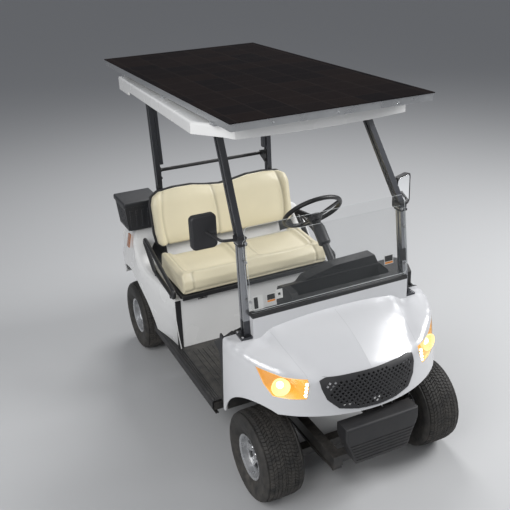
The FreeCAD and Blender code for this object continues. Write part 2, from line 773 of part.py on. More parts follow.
def leaf_pack(name, middle, height, half, rise, leaves):
    """Leaf spring along Y: one bowed outline whose leaves get shorter, with two eyes."""
    wide = N.spring_leaf_wide
    wall = N.spring_leaf_wall
    bend = (half * half + rise * rise) / (2 * rise)
    centre = height + bend

    def at(radius, angle):
        return Vector(-wide / 2, middle + radius * math.sin(angle), centre - radius * math.cos(angle))
    full = math.asin(half / bend)
    corners = [at(bend, full * step / 4) for step in range(-4, 5)]
    ends = [math.asin(half * (1 - 0.28 * leaf) / bend) for leaf in range(leaves)]
    for leaf, turn in enumerate(ends):
        corners += [at(bend + wall * (leaf + 1), turn)]
        if leaf + 1 < leaves:
            corners += [at(bend + wall * (leaf + 1), ends[leaf + 1])]
    corners += [at(bend + wall * leaves, 0)]
    for leaf in reversed(range(leaves)):
        if leaf + 1 < leaves:
            corners += [at(bend + wall * (leaf + 1), -ends[leaf + 1])]
        corners += [at(bend + wall * (leaf + 1), -ends[leaf])]
    pieces = [Part.Face(Part.makePolygon(corners + corners[:1])).extrude(Vector(wide, 0, 0))]
    for way in (-1, 1):
        eye = Vector(-wide / 2, middle + way * (half + 7), height + rise)
        pieces.append(Part.makeCylinder(12, wide, eye, Vector(1, 0, 0)))
    return pieces[0].fuse(pieces[1:]).removeSplitter()


def pair(shape, across):
    left = shape.copy()
    left.translate(Vector(across, 0, 0))
    right = shape.copy()
    right.translate(Vector(-across, 0, 0))
    return [left, right]


def make_front_suspension():
    """Dead beam with a fork for each kingpin, hung from two leaf springs."""
    low = N.beam_base_height
    long = N.beam_long
    middle = N.front_axle_y
    hub = N.tyre_radius
    end = N.kingpin_x
    pieces = [Part.makeBox(end * 2 - 66, long, N.beam_high, Vector(33 - end, middle - long / 2, low))]
    for side in (-1, 1):
        web = min(side * (end - N.fork_reach), side * (end - N.fork_reach + 25))
        ear = min(side * (end - N.fork_reach), side * (end + 20))
        pieces.append(Part.makeBox(25, long, hub + 54 - low, Vector(web, middle - long / 2, low)))
        for up in (hub - 57, hub + 37):
            pieces.append(Part.makeBox(N.fork_reach + 20, 40, 16, Vector(ear, middle - 20, up)))
        pieces.append(Part.makeCylinder(N.kingpin_radius, 110,
                                        Vector(side * end, middle, hub - 56)))
    spring = leaf_pack("front_leaf", middle, low + N.beam_high + N.spring_leaf_wall, 225, 7, 2)
    pieces += pair(spring, N.rail_spacing / 2)
    return pieces[0].fuse(pieces[1:]).removeSplitter()


def make_rear_axle():
    """Axle tube with spindles, gear case and the motor lying beside it."""
    middle = float(rear_axle_y)
    hub = N.tyre_radius
    half = N.rear_track / 2
    reach = half + N.rim_width / 2 - N.rim_face_depth - 18
    case = 92
    motor_y = middle - 148
    spindle = Part.makeCylinder(N.hub_bore_radius - N.running_gap, reach * 2,
                                Vector(-reach, middle, hub), Vector(1, 0, 0))
    tube_half = half - 42
    tube = Part.makeCylinder(N.axle_tube_radius, tube_half * 2, Vector(-tube_half, middle, hub),
                             Vector(1, 0, 0))
    gears = Part.makeCylinder(N.diff_radius, case, Vector(-case / 2, middle, hub), Vector(1, 0, 0))
    housing = Part.makeCylinder(N.motor_radius, case, Vector(-case / 2, motor_y, hub),
                                Vector(1, 0, 0))
    web = Part.makeBox(case, middle - motor_y, N.motor_radius * 1.7,
                       Vector(-case / 2, motor_y, hub - N.motor_radius * 0.85))
    motor = Part.makeCylinder(N.motor_radius - 6, N.motor_long, Vector(case / 2, motor_y, hub),
                              Vector(-1, 0, 0))
    motor.translate(Vector(-case, 0, 0))
    pieces = [tube, gears, housing, web, motor]
    for fin in range(3):
        ring = Part.makeCylinder(N.motor_radius, 8, Vector(-case / 2 - 40 - 70 * fin, motor_y, hub),
                                 Vector(-1, 0, 0))
        pieces.append(ring)
    return spindle.fuse(pieces).removeSplitter()


def make_rear_springs():
    middle = float(rear_axle_y)
    base = N.tyre_radius + N.axle_tube_radius + N.spring_leaf_wall * 3 + 0.5
    rise = N.rail_base_height + N.kick_rise + 10 - base - 13
    spring = leaf_pack("rear_leaf", middle, base, 232, rise, 3)
    return spring


finish(shaped("front_beam", make_front_suspension()), "front_suspension")
finish(shaped("transaxle", make_rear_axle()), "rear_axle")
left_spring, right_spring = pair(make_rear_springs(), 298)
finish(shaped("leaf_left", left_spring), "rear_spring_left")
finish(shaped("leaf_right", right_spring), "rear_spring_right")


# Battery pack: a plain ribbed case under the seat.

def make_battery():
    case = box("battery_case", (-S.battery_half_width, S.battery_front_y, S.floor_height),
               (S.battery_half_width * 2, S.battery_long, S.battery_high))
    lid = box("battery_lid", (-S.battery_half_width - 6, S.battery_front_y - 6,
                              S.floor_height + S.battery_high - 22),
              (S.battery_half_width * 2 + 12, S.battery_long + 12, 22))
    return fuse("battery", [case, lid])


finish(make_battery(), "battery_pack")


# Dashboard: a hollow moulding with a binnacle, shelves and side flanges.

def dash_block(corners, low, high):
    """Solid between two x values with the given (y, z) side outline."""
    face = Part.Face(Part.makePolygon([Vector(low, y, z) for y, z in corners + corners[:1]]))
    return face.extrude(Vector(high - low, 0, 0))


def dash_profile():
    """(y, z) side outline of the dashboard, from the screen round to the toe board."""
    rear = N.cowl_rear_y + N.cowl_lip
    top = N.dash_top_height
    face = N.dash_face_y
    return [(rear + 5, top - 36), (rear + 34, top - 6), (rear + 110, top), (face - 18, top - 22),
            (face, top - 60), (face, top - 120), (face - 16, top - 190),
            (N.toe_top_y + 4, N.toe_top_height), (rear + 5, N.toe_top_height)]


def above_passenger_side(reach, drop):
    """Everything above the dash's passenger end, a plane that sinks outwards and rearwards."""
    rings = []
    for x in (-N.dash_half_width - 60, reach):
        front, rear = (N.dash_slope_height - drop + N.dash_slope_side * (x + N.dash_half_width) -
                       N.dash_slope_rear * (y - N.cowl_rear_y) for y in
                       (N.cowl_rear_y - 40, N.dash_face_y + 60))
        ring = [Vector(x, N.cowl_rear_y - 40, front), Vector(x, N.dash_face_y + 60, rear),
                Vector(x, N.dash_face_y + 60, 1400), Vector(x, N.cowl_rear_y - 40, 1400)]
        rings.append(Part.makePolygon(ring + ring[:1]))
    return Part.makeLoft(rings, True, True)


def lined(shell, solid, low, high):
    """Cut an open bin between two corners and line it with the dash's own wall."""
    wall = Vector(N.dash_wall, N.dash_wall, N.dash_wall)
    span = high - low
    bin_outer = Part.makeBox(span.x, span.y, span.z, low)
    space = Part.makeBox(span.x - 2 * wall.x, span.y - 2 * wall.y, span.z, low + wall)
    return shell.cut(bin_outer).fuse(bin_outer.common(solid).cut(space))


def make_dash():
    wall = N.dash_wall
    half = N.dash_half_width
    rear = N.cowl_rear_y + N.cowl_lip
    top = N.dash_top_height
    face = N.dash_face_y
    toe = N.toe_top_height
    profile = dash_profile()
    wire = Part.makePolygon([Vector(y, z, 0) for y, z in profile + profile[:1]])
    inner = [(vertex.Point.x, vertex.Point.y) for vertex in
             wire.makeOffset2D(-wall, 2).OrderedVertexes]
    solid = dash_block(profile, -half, half).cut(above_passenger_side(N.dash_step_x, 0))
    hollow = dash_block(inner, wall - half, half - wall)
    hollow = hollow.cut(above_passenger_side(N.dash_step_x + wall, wall))
    front = Part.makeBox(half * 2 - 60, 60, top - toe - 130, Vector(30 - half, rear - 20, toe + 12))
    shell = solid.cut([hollow, front])
    shell = lined(shell, solid, Vector(-N.bin_far_x, rear + 22, N.bin_floor_height),
                  Vector(-N.bin_near_x, rear + 22 + N.bin_long, top + 100))
    shell = lined(shell, solid, Vector(N.dash_step_x + 34, rear + 16, top - N.trough_deep),
                  Vector(N.trough_reach, rear + 16 + N.trough_long, top + 100))
    shelf_base = Vector(60, face - N.shelf_deep + 12, top - N.shelf_drop)
    shelf = Part.makeBox(N.shelf_wide, N.shelf_deep, N.shelf_high, shelf_base)
    space = Part.makeBox(N.shelf_wide - 2 * wall, N.shelf_deep, N.shelf_high - 2 * wall,
                         shelf_base + Vector(wall, wall, wall))
    shell = shell.cut(shelf).fuse(shelf.common(solid).cut(space))
    cup = Vector(N.cup_x, rear + 84, top - N.cup_deep - 40)
    bore = Part.makeCylinder(N.cup_radius, N.cup_deep + 80, cup + Vector(0, 0, 4))
    holder = Part.makeCylinder(N.cup_radius + 4, N.cup_deep + 80, cup).common(solid).cut(bore)
    shell = shell.cut(bore).fuse(holder)
    hump = [(-90, top - 40), (-48, top - 27), (-17, top + 6), (150, top + 42), (392, top + 48),
            (432, top - 40)]
    raised = Part.Face(Part.makePolygon([Vector(x, face - N.hump_long, z)
                                         for x, z in hump + hump[:1]]))
    raised = raised.extrude(Vector(0, N.hump_long, 0))
    window = [(8, top + 2), (10, top + 4), (152, top + 34), (380, top + 39), (396, top + 2)]
    recess = Part.Face(Part.makePolygon([Vector(x, face - 8, z) for x, z in window + window[:1]]))
    raised = raised.cut(recess.extrude(Vector(0, 20, 0)))
    lid = Part.makeBox(N.dash_lid_wide, N.lid_groove, N.dash_lid_high,
                       Vector(0, face - N.hump_long - N.lid_groove, top - N.dash_lid_high - 26))
    pieces = [raised.cut(dash_block(profile, -half, half)), lid]
    for side in (-1, 1):
        start = min(side * half, side * (half + 9))
        flange = [(N.cowl_rear_y + 4, N.cowl_side_base_height), (N.cowl_rear_y + 58, 420),
                  (rear + 40, top - 190), (rear + 16, top - 110), (N.cowl_rear_y + 4, top - 118)]
        pieces.append(dash_block(flange, start, start + 9))
    return shell.fuse(pieces).removeSplitter()


finish(shaped("dash", make_dash()), "dashboard")


# Steering column and wheel share one slanting axis.

SLANT = Rotation(Vector(1, 0, 0), -N.column_angle)


def on_column(item):
    item.Placement = Placement(Vector(0, 0, 0), SLANT)
    place(item, (S.wheel_side, S.wheel_centre_y, S.wheel_height))
    return item


def make_column():
    radius = S.column_radius
    top = -S.wheel_dish - 24
    foot = top - S.column_long
    corners = [(0, foot), (radius, foot), (radius, top - 150), (radius + 14, top - 138),
               (radius + 14, top - 46), (radius, top), (9 - S.running_gap, top),
               (9 - S.running_gap, top + 18), (0, top + 18)]
    return on_column(turned("column", corners))


def make_wheel():
    ring = doc.addObject("Part::Torus", "rim_ring")
    bind(ring, "Radius1", S.wheel_rim_radius)
    bind(ring, "Radius2", S.wheel_grip_radius)
    base = -S.wheel_dish - 23.5
    hub = turned("wheel_hub", [(9, base), (34, base), (S.wheel_hub_radius, base + 26),
                               (S.wheel_hub_radius - 8, base + 38), (0, base + 42),
                               (0, base + 22), (9, base + 22)])
    spokes = []
    for number, angle in enumerate((90, 210, 330)):
        turn = math.radians(angle)
        reach = N.wheel_rim_radius
        inner = Vector(34 * math.cos(turn), 34 * math.sin(turn), float(base) + 28)
        outer = Vector(reach * math.cos(turn), reach * math.sin(turn), 0)
        axis = outer - inner
        spoke = doc.addObject("Part::Box", "wheel_spoke_%d" % number)
        bind(spoke, "Length", 30)
        bind(spoke, "Width", 9)
        spoke.Height = axis.Length
        side = Vector(-math.sin(turn), math.cos(turn), 0)
        frame = Rotation(side, axis.cross(side), axis, "ZXY")
        spoke.Placement = Placement(inner - frame.multVec(Vector(15, 4.5, 0)), frame)
        spokes.append(spoke)
    return on_column(fuse("steering", [ring, hub] + spokes))


finish(make_column(), "steering_column")
finish(make_wheel(), "steering_wheel")


# Windscreen: a lower pane and an upper pane folded down in front of it.

def make_pane(name, foot, head, half):
    wall = S.screen_wall
    outline = [(foot[0], foot[1]), (foot[0] + wall, foot[1]), (head[0] + wall, head[1]),
               (head[0], head[1])]
    body = side_pad(name, outline, half * 2)
    sheet_pad = body.Tip

    def corner(edge):
        middle = edge.CenterOfMass
        return abs(middle.x) > float(half) - 1 and edge.Length < float(wall) * 1.5
    round_edges(body, sheet_pad, 22, corner)
    return body


finish(make_pane("pane_low", (S.screen_base_y, S.screen_base_height),
                 (S.screen_fold_y, S.screen_fold_height), S.screen_half_width),
       "windscreen_lower")
finish(make_pane("pane_high", (S.screen_base_y - S.screen_step, S.fold_base_height),
                 (S.screen_fold_y - S.screen_step, S.screen_fold_height + 62),
                 S.screen_half_width - 6), "windscreen_upper")


# Roof struts: grooved sections bent back above the windscreen's fold.

def strut_section():
    half = N.strut_wide / 2
    deep = N.strut_long / 2
    groove = N.strut_groove
    return [(-half, -deep), (half, -deep), (half, -groove), (half - groove, -groove),
            (half - groove, groove), (half, groove), (half, deep), (-half, deep),
            (-half, groove), (groove - half, groove), (groove - half, -groove), (-half, -groove)]


def make_front_strut(side):
    roof = N.roof_base_height + N.roof_high - N.roof_wall
    rise = (roof - N.strut_bend_height) / (1690 - N.strut_bend_height)
    top = (side * (N.strut_bend_x + (N.strut_top_x - N.strut_bend_x) * rise),
           N.strut_bend_y + (N.strut_top_y - N.strut_bend_y) * rise, roof)
    points = [(side * N.strut_foot_x, N.strut_foot_y, N.strut_foot_height),
              (side * N.strut_bend_x, N.strut_bend_y, N.strut_bend_height), top]
    strut = swept_section(points, N.strut_bend_radius, strut_section())
    level = Part.makeBox(300, 300, 60, Vector(top[0] - 150, top[1] - 150, roof - 0.5))
    plate = Part.makeBox(N.strut_plate, N.strut_plate, N.strut_plate_wall,
                         Vector(points[0][0] - N.strut_plate / 2, N.strut_foot_y - N.strut_plate / 2,
                                N.strut_foot_height))
    clamp = Part.makeBox(N.strut_wide + 12, N.strut_long + 8, 34,
                         Vector(points[1][0] - N.strut_wide / 2 - 6,
                                points[1][1] - N.strut_long / 2 - 2, points[1][2] - 18))
    cap = Part.makeBox(70, 90, 5, Vector(top[0] - 35, top[1] - 45, roof - 5.5))
    strut = strut.cut(level).fuse([plate, clamp, cap]).removeSplitter().cut(under_cowl)
    return max(strut.Solids, key=lambda solid: solid.Volume)


under_cowl = both_sides(skin(cowl_points, 130))
front_struts = [make_front_strut(1), make_front_strut(-1)]
finish(shaped("strut_fl", front_struts[0]), "strut_front_left")
finish(shaped("strut_fr", front_struts[1]), "strut_front_right")


def make_screen_sill(struts):
    """Dark strip that fills the space between the pane's foot and the hood."""
    front = N.screen_base_y - N.screen_step - 4
    half = N.strut_foot_x - N.strut_wide / 2 - 3
    strip = Part.makeBox(half * 2, 44, 130, Vector(-half, front, N.screen_base_height - 128))
    slot = Part.makeBox(N.screen_half_width * 2 + 20, N.screen_wall + 1, 20,
                        Vector(-N.screen_half_width - 10, N.screen_base_y - 0.5,
                               N.screen_base_height - 0.5))
    strip = strip.cut([under_cowl, slot] + struts)
    return max(strip.Solids, key=lambda solid: solid.CenterOfMass.z)


finish(shaped("screen_strip", make_screen_sill(front_struts)), "windscreen_sill")


def make_rear_strut(side):
    """Grooved strut with a slimmer brace tube close beside it, from the rack to the roof."""
    roof = N.roof_base_height + N.roof_high - N.roof_wall
    foot = Vector(side * N.rear_strut_x, N.rear_strut_foot_y, N.rear_strut_foot_height)
    top = Vector(side * N.rear_strut_top_x, N.rear_strut_top_y, roof - 0.5)
    section = [foot + Vector(x, y, 0) for x, y in strut_section()]
    strut = Part.Face(Part.makePolygon(section + section[:1])).extrude(top - foot)
    share = (N.rack_height + 60 - foot.z) / (top.z - foot.z)
    low = foot + (top - foot) * share
    across = -side * (N.strut_wide / 2 + N.brace_wide / 2 + N.brace_gap)
    ring = [low + Vector(across + x * N.brace_wide / 2, y * N.brace_long / 2, 0)
            for x, y in ((-1, -1), (1, -1), (1, 1), (-1, 1))]
    brace = Part.Face(Part.makePolygon(ring + ring[:1])).extrude(top - low)
    link = Part.makeBox(N.brace_wide + N.brace_gap + 4, 16, 24,
                        Vector(min(across, 0) if side > 0 else 0, -8, 0))
    link.translate(low + Vector(0, 0, 8))
    plate = Part.makeBox(70, 64, 6, foot - Vector(35, 42, 0))
    cap = Part.makeBox(100, 90, 5, top - Vector(50 + side * 15, 45, 5))
    return strut.fuse([brace, link, plate, cap]).removeSplitter()


rear_struts = [make_rear_strut(1), make_rear_strut(-1)]
finish(shaped("strut_rl", rear_struts[0]), "strut_rear_left")
finish(shaped("strut_rr", rear_struts[1]), "strut_rear_right")


# Roof: an open-bottomed tray with slanting front corners and two rear hand grips.

def roof_plan(inset):
    """Plan outline of the roof, moved inwards by the inset."""
    rear = S.roof_rear_half_width - inset
    front = S.roof_front_half_width - inset
    nose = S.roof_nose_half_width - inset * 0.5
    right = [(rear, S.roof_rear_y - inset), (front, S.roof_corner_y + inset * 0.3),
             (nose + 26, S.roof_corner_y - 142 + inset * 0.8), (nose, S.roof_nose_y + 36 + inset),
             (nose / 2, S.roof_nose_y + 8 + inset)]
    left = [(-across, along_y) for across, along_y in reversed(right)]
    return right + [(0, S.roof_nose_y + inset)] + left


def make_roof():
    body = new_body("roof_body")
    plan = sketch_on(body, "roof_plan", "XY_Plane", S.roof_base_height)
    polygon(plan, roof_plan(0))
    slab = pad(body, plan, S.roof_high, False)
    top = float(S.roof_base_height + S.roof_high)

    def rim(edge):
        return edge.BoundBox.ZMin > top - 1
    round_edges(body, slab, S.roof_edge_radius, rim)
    hollow = sketch_on(body, "roof_hollow", "XY_Plane", S.roof_base_height)
    polygon(hollow, roof_plan(S.roof_wall))
    pocket(body, hollow, (S.roof_high - S.roof_wall) * 2)
    for side in (-1, 1):
        grip = sketch_on(body, "roof_grip", "XY_Plane", S.roof_base_height - S.grip_drop)
        rear = S.roof_rear_half_width
        slope = (S.roof_front_half_width - rear) / (S.roof_rear_y - S.roof_corner_y)
        start = rear + slope * S.grip_long
        polygon(grip, [(rear * side, S.roof_rear_y), (start * side, S.roof_rear_y - S.grip_long),
                       ((start - 9) * side, S.roof_rear_y - S.grip_long),
                       ((rear - 9) * side, S.roof_rear_y)])
        pad(body, grip, S.grip_drop + 2, False)
    return body


finish(make_roof(), "roof")


# Solar panel: framed tray on six feet with a glass sheet on top.

def make_panel_frame():
    half = S.panel_half_width
    front = S.panel_front_y
    long = S.panel_rear_y - front
    base = S.panel_base_height
    bar = S.panel_bar
    outer = box("panel_outer", (-half, front, base), (half * 2, long, S.panel_high))
    inner = box("panel_inner", (-half + bar, front + bar, base - 1),
                (half * 2 - bar * 2, long - bar * 2, S.panel_high - S.panel_wall + 1))
    holes = [cylinder("panel_hole_%d" % number, "y",
                      (half * (number - 2) * 0.62, front - 1, base + S.panel_high / 2),
                      S.panel_hole_radius, S.panel_wall + 4) for number in (1, 2, 3)]
    tray = cut("panel_tray", outer, [inner] + holes)
    pieces = [tray]
    for number in (1, 2):
        pieces.append(box("panel_bar_%d" % number, (-half, front + long * number / 3 - 15, base),
                          (half * 2, 30, S.panel_high)))
    roof_top = S.roof_base_height + S.roof_high
    for side in (-1, 1):
        for number, spot in enumerate((-600, 60, 760)):
            across = side * (half - bar / 2) - S.panel_foot / 2
            pieces.append(box("panel_foot_%d" % number, (across, spot, roof_top),
                              (S.panel_foot, S.panel_foot, base - roof_top + 2)))
    return fuse("panel_frame", pieces)


finish(make_panel_frame(), "solar_frame")
over = S.glass_overhang
finish(box("panel_glass", (-S.panel_half_width - over, S.panel_front_y - over, panel_top),
           ((S.panel_half_width + over) * 2, S.panel_rear_y - S.panel_front_y + over * 2,
            S.glass_wall)), "solar_glass")


# Rear body: two curved flanks that rise into the fenders, a bridge and a valance.

def flank_line(along_y):
    """Height of the flank's shoulder, low by the seat and high over the wheel."""
    ahead = smooth((along_y - N.body_front_y) / 420)
    rise = smooth((along_y - 520) / 240)
    fall = smooth((along_y - 860) / 292)
    level = N.body_seat_height + 44 * ahead
    return level + (N.body_fender_height - N.body_seat_height - 44) * rise - N.body_tail_fall * fall


def flank_side(along_y):
    """Half-width of the flank, narrow by the seat and full over the wheel."""
    wider = smooth((along_y - N.body_front_y) / 520)
    tuck = smooth((along_y - 900) / 250)
    return N.body_front_half_width + (N.body_half_width - N.body_front_half_width) * wider - 50 * tuck


def flank_section(along_y):
    """Closed section of the flank at one station: its outer line and, inside it, the inner one."""
    side = flank_side(along_y)
    top = flank_line(along_y)
    inner = 484 - (484 - N.well_half_width - 14) * smooth((along_y - 650) / 85)
    lean = N.body_lean * smooth((along_y - 640) / 200)
    wall = N.body_wall
    base = N.body_sill_height
    outer = [(side - 18, base), (side - 8, base + 90), (side, (base + top) / 2 + 40),
             (side - 1 - lean, top - 46), (side - 7 - lean, top - 20), (side - 18 - lean, top - 6),
             (side - 34 - lean, top), (inner, top)]
    lining = [(side - 34 - lean, top - wall), (side - 21 - lean, top - wall - 5),
              (side - 7 - wall - lean, top - 23), (side - 1 - wall - lean, top - 47),
              (side - wall, (base + top) / 2 + 40),
              (side - 8 - wall, base + 90), (side - 18 - wall, base)]
    corners = [Vector(across, along_y, up) for across, up in
               outer + [(inner, top - wall)] + lining]
    return Part.makePolygon(corners + corners[:1])


def flank_loft():
    count = 12
    stations = [N.body_front_y + (N.body_rear_y - N.body_front_y) * number / count
                for number in range(count + 1)]
    return Part.makeLoft([flank_section(along_y) for along_y in stations], True, False)


def make_rear_body():
    flank = flank_loft()
    arch = Part.makeCylinder(N.rear_arch_radius, 400, Vector(330, N.rear_arch_y, N.rear_arch_height),
                             Vector(1, 0, 0))
    tail = Part.makeBox(300, 200, 150, Vector(400, N.rear_arch_y + 200, N.body_sill_height - 10))
    room = Part.makeBox(N.well_half_width + 1, N.body_rear_y - N.body_wall - N.well_front_y + 1, 300,
                        Vector(0, N.well_front_y - 1, N.body_sill_height + 300))
    flank = flank.cut([arch, tail, room])
    wall = N.body_wall
    inner = N.well_half_width + 8
    top = N.body_fender_height
    shelf = [(612, top - 168), (676, top - 2), (N.well_front_y - 2, top - 2),
             (N.well_front_y - 2, top - 2 - wall), (681, top - 2 - wall), (617, top - 168)]
    bridge = Part.Face(Part.makePolygon([Vector(-inner - 20, y, z) for y, z in shelf + shelf[:1]]))
    bridge = bridge.extrude(Vector(inner * 2 + 40, 0, 0))
    rear = N.body_rear_y
    valance = Part.makeBox(N.body_half_width * 2 - 110, wall, 150,
                           Vector(55 - N.body_half_width, rear - wall, N.well_floor_height - 96))
    pieces = [mirrored(flank), bridge, valance]
    for side in (-1, 1):
        start = min(side * (inner - 6), side * (N.body_half_width - 68))
        corner = Part.makeBox(N.body_half_width - 62 - inner, wall, 300,
                              Vector(start, rear - wall, N.well_floor_height - 96))
        pieces.append(corner)
    return flank.fuse(pieces).removeSplitter()


body_shell = shaped("body_shell", make_rear_body())
finish(body_shell, "rear_body")

pod_top = S.body_seat_height + 2.5
pod = side_pad("pod_front", [(S.body_front_y + S.pod_lean, S.floor_height),
                             (S.body_front_y, pod_top), (S.body_front_y + S.pod_wall, pod_top),
                             (S.body_front_y + S.pod_lean + S.pod_wall, S.floor_height)],
               S.pod_half_width * 2)
finish(cut("pod_fitted", pod, [body_shell]), "seat_front_panel")


# Bag well: an open tray with ribs, its front and sides up to the fenders.

def make_bag_well():
    half = S.well_half_width
    front = S.well_front_y
    long = S.body_rear_y - front - S.body_wall
    floor = S.well_floor_height
    wall = S.well_wall
    high = S.body_fender_height - floor - 50
    outer = box("well_outer", (-half, front, floor), (half * 2, long, high))
    inner = box("well_inner", (-half + wall, front + wall, floor + wall),
                (half * 2 - wall * 2, long - wall * 2, high))
    gate = box("well_gate", (-half + wall * 3, front + long - wall - 1, floor + 70),
               (half * 2 - wall * 6, wall + 2, high))
    tray = cut("well_tray", outer, [inner, gate])
    pieces = [tray]
    for number in range(7):
        across = -half + half * 2 * (number + 1) / 8 - 5
        pieces.append(box("well_rib_%d" % number, (across, front + wall, floor + wall),
                          (10, long - wall * 2, 8)))
    return fuse("well", pieces)


finish(make_bag_well(), "bag_well")


# Seat: pan and cushion lift together; the back stands on the rear body.

def make_pan():
    low = S.body_seat_height + 3
    pan = box("pan_sheet", (-S.seat_half_width, S.seat_front_y + 14, low),
              (S.seat_half_width * 2, S.seat_rear_y - S.seat_front_y - 16, S.seat_pan_high))
    trim = box("pan_trim", (-S.seat_half_width - 4, S.seat_front_y + 4, low),
               (S.seat_half_width * 2 + 8, 12, S.seat_pan_high + 2))
    return fuse("pan", [pan, trim])


finish(make_pan(), "seat_pan")


def cushion_shape(outline, half, edge_radius):
    """Soft block along X from a (y, z) outline, with its end edges rounded."""
    face = Part.Face(Part.makePolygon([Vector(-half, y, z) for y, z in outline + outline[:1]]))
    block = face.extrude(Vector(half * 2, 0, 0))
    edges = [edge for edge in block.Edges if edge.BoundBox.XLength < 1]
    return block.makeFillet(edge_radius, edges)


def make_seat_cushion():
    low = N.body_seat_height + 3 + N.seat_pan_high + N.fabric_gap
    top = low + N.cushion_high
    front = N.seat_front_y
    rear = N.seat_rear_y
    outline = [(front + 18, low), (rear, low), (rear, top + 8), (rear - 60, top + 4),
               (front + 110, top - 10), (front + 40, top - 6), (front + 4, top - 40),
               (front, low + 34)]
    return cushion_shape(outline, N.seat_half_width, 16)


finish(shaped("cushion", make_seat_cushion()), "seat_cushion")

LEAN = Rotation(Vector(1, 0, 0), -N.back_lean)


def back_outline():
    """(x, z) outline of the twin-crowned seat back, from its base line."""
    half = N.back_half_width
    high = N.back_high
    right = [(half - 34, 0), (half - 8, 26), (half, 90), (half, high - 92), (half - 16, high - 42),
             (half - 62, high - 12), (half - 170, high), (half - 290, high - 2),
             (half / 5, high - 18), (0, high - 28)]
    left = [(-across, up) for across, up in reversed(right[:-1])]
    return right + left


def make_back(outline, near, wall, edge_radius):
    face = Part.Face(Part.makePolygon([Vector(x, near, z) for x, z in outline + outline[:1]]))
    block = face.extrude(Vector(0, wall, 0))
    rim = [edge for edge in block.Edges if edge.BoundBox.YLength < 0.1]
    block = block.makeFillet(edge_radius, rim)
    block.Placement = Placement(Vector(0, N.back_base_y, N.back_base_height), LEAN)
    return block


finish(shaped("back_cushion", make_back(back_outline(), 0, N.back_cushion_wall, 20)),
       "seat_back_cushion")
finish(shaped("back_shell", make_back(shrunk(back_outline(), 4), N.back_cushion_wall +
                                      N.fabric_gap, N.back_shell_wall, 7)), "seat_back_shell")


def make_armrest(side):
    """Triangular tube loop on the flank's shoulder, with a slim rod across its rear corner."""
    middle = ((N.arm_front_y + N.arm_low_y) / 2, (N.arm_front_height + N.arm_low_height) / 2)
    loop = [middle, (N.arm_front_y, N.arm_front_height),
            (N.arm_front_y, N.arm_front_height + 44), (N.arm_rear_y, N.arm_rear_height),
            (N.arm_low_y, N.arm_low_height), middle]
    x = side * N.arm_x
    frame = bent_tube([(x, y, z) for y, z in loop], N.arm_radius, 19)
    rod = bent_tube([(x, N.arm_low_y - 36, N.arm_low_height - 4),
                     (x, N.arm_rear_y - 110, N.arm_rear_height - 34)], 7, 10)
    feet = [Part.makeCylinder(9, 22, Vector(x, y, z - 26), Vector(0, 0, 1)) for y, z in
            ((N.arm_front_y + 60, N.arm_front_height + 6), (N.arm_low_y - 30, N.arm_low_height))]
    arm = frame.fuse([rod] + feet).cut(body_shell.Shape)
    return max(arm.Solids, key=lambda solid: solid.Volume)


finish(shaped("arm_left", make_armrest(1)), "armrest_left")
finish(shaped("arm_right", make_armrest(-1)), "armrest_right")


# Bag rack: a bar between the rear struts on two bolted gusset plates.

def make_rack():
    height = N.rack_height
    rise = (height - N.rear_strut_foot_height) / (1790 - N.rear_strut_foot_height)
    strut_y = N.rear_strut_foot_y + (N.rear_strut_top_y - N.rear_strut_foot_y) * rise
    rear = strut_y + N.strut_long / 2 + 52
    strut_x = N.rear_strut_x + (N.rear_strut_top_x - N.rear_strut_x) * rise
    half = strut_x - N.strut_wide / 2 + 1
    bar = Part.makeCylinder(N.rack_radius, half * 2, Vector(-half, rear, height), Vector(1, 0, 0))
    pieces = []
    for side in (-1, 1):
        corners = [(strut_y - 16, height + 46), (rear + 16, height + 14), (rear + 16, height - 14),
                   (strut_y - 16, height - 60)]
        start = min(side * half, side * (half - 5))
        plate = Part.Face(Part.makePolygon([Vector(start, y, z) for y, z in
                                            corners + corners[:1]]))
        pieces.append(plate.extrude(Vector(5, 0, 0)))
        for up in (height + 18, height - 28):
            pieces.append(Part.makeCylinder(8, 8, Vector(side * (half - 5), strut_y, up),
                                            Vector(-side, 0, 0)))
    rack = bar.fuse(pieces).cut(rear_struts)
    return max(rack.Solids, key=lambda solid: solid.Volume)


finish(shaped("rack", make_rack()), "bag_rack")


# Cooler: a tapered box with a hinged lid on the right rear fender.

def tapered(x, y, low, high, wide, long, taper):
    """Block whose four sides lean outwards by the taper."""
    wires = []
    for height, grow in ((low, -taper), (high, 0)):
        across = wide / 2 + grow
        reach = long / 2 + grow
        corners = [Vector(x - across, y - reach, height), Vector(x + across, y - reach, height),
                   Vector(x + across, y + reach, height), Vector(x - across, y + reach, height)]
        wires.append(Part.makePolygon(corners + corners[:1]))
    return Part.makeLoft(wires, True, True)


def make_cooler():
    x = N.cooler_x
    y = N.cooler_y
    low = N.cooler_base_height
    high = low + N.cooler_high
    wall = N.cooler_wall
    outer = tapered(x, y, low, high, N.cooler_wide, N.cooler_long, N.cooler_taper)
    ribs = []
    for number in range(5):
        offset = (number - 2) * 38
        ribs.append(Part.makeBox(14, N.cooler_long + 4, N.cooler_high - 46,
                                 Vector(x + offset - 7, y - N.cooler_long / 2 - 2, low + 20)))
        ribs.append(Part.makeBox(N.cooler_wide + 4, 14, N.cooler_high - 46,
                                 Vector(x - N.cooler_wide / 2 - 2, y + offset - 7, low + 20)))
    bigger = tapered(x, y, low, high, N.cooler_wide + 6, N.cooler_long + 6, N.cooler_taper)
    shape = outer.fuse([rib.common(bigger) for rib in ribs])
    hollow = tapered(x, y, low + wall, high + 1, N.cooler_wide - wall * 2, N.cooler_long - wall * 2,
                     N.cooler_taper)
    shape = shape.cut(hollow)
    foot = Part.makeBox(N.cooler_wide - 60, N.cooler_long - 60, 10,
                        Vector(x - N.cooler_wide / 2 + 30, y - N.cooler_long / 2 + 30, low - 8))
    return shape.fuse(foot).removeSplitter()


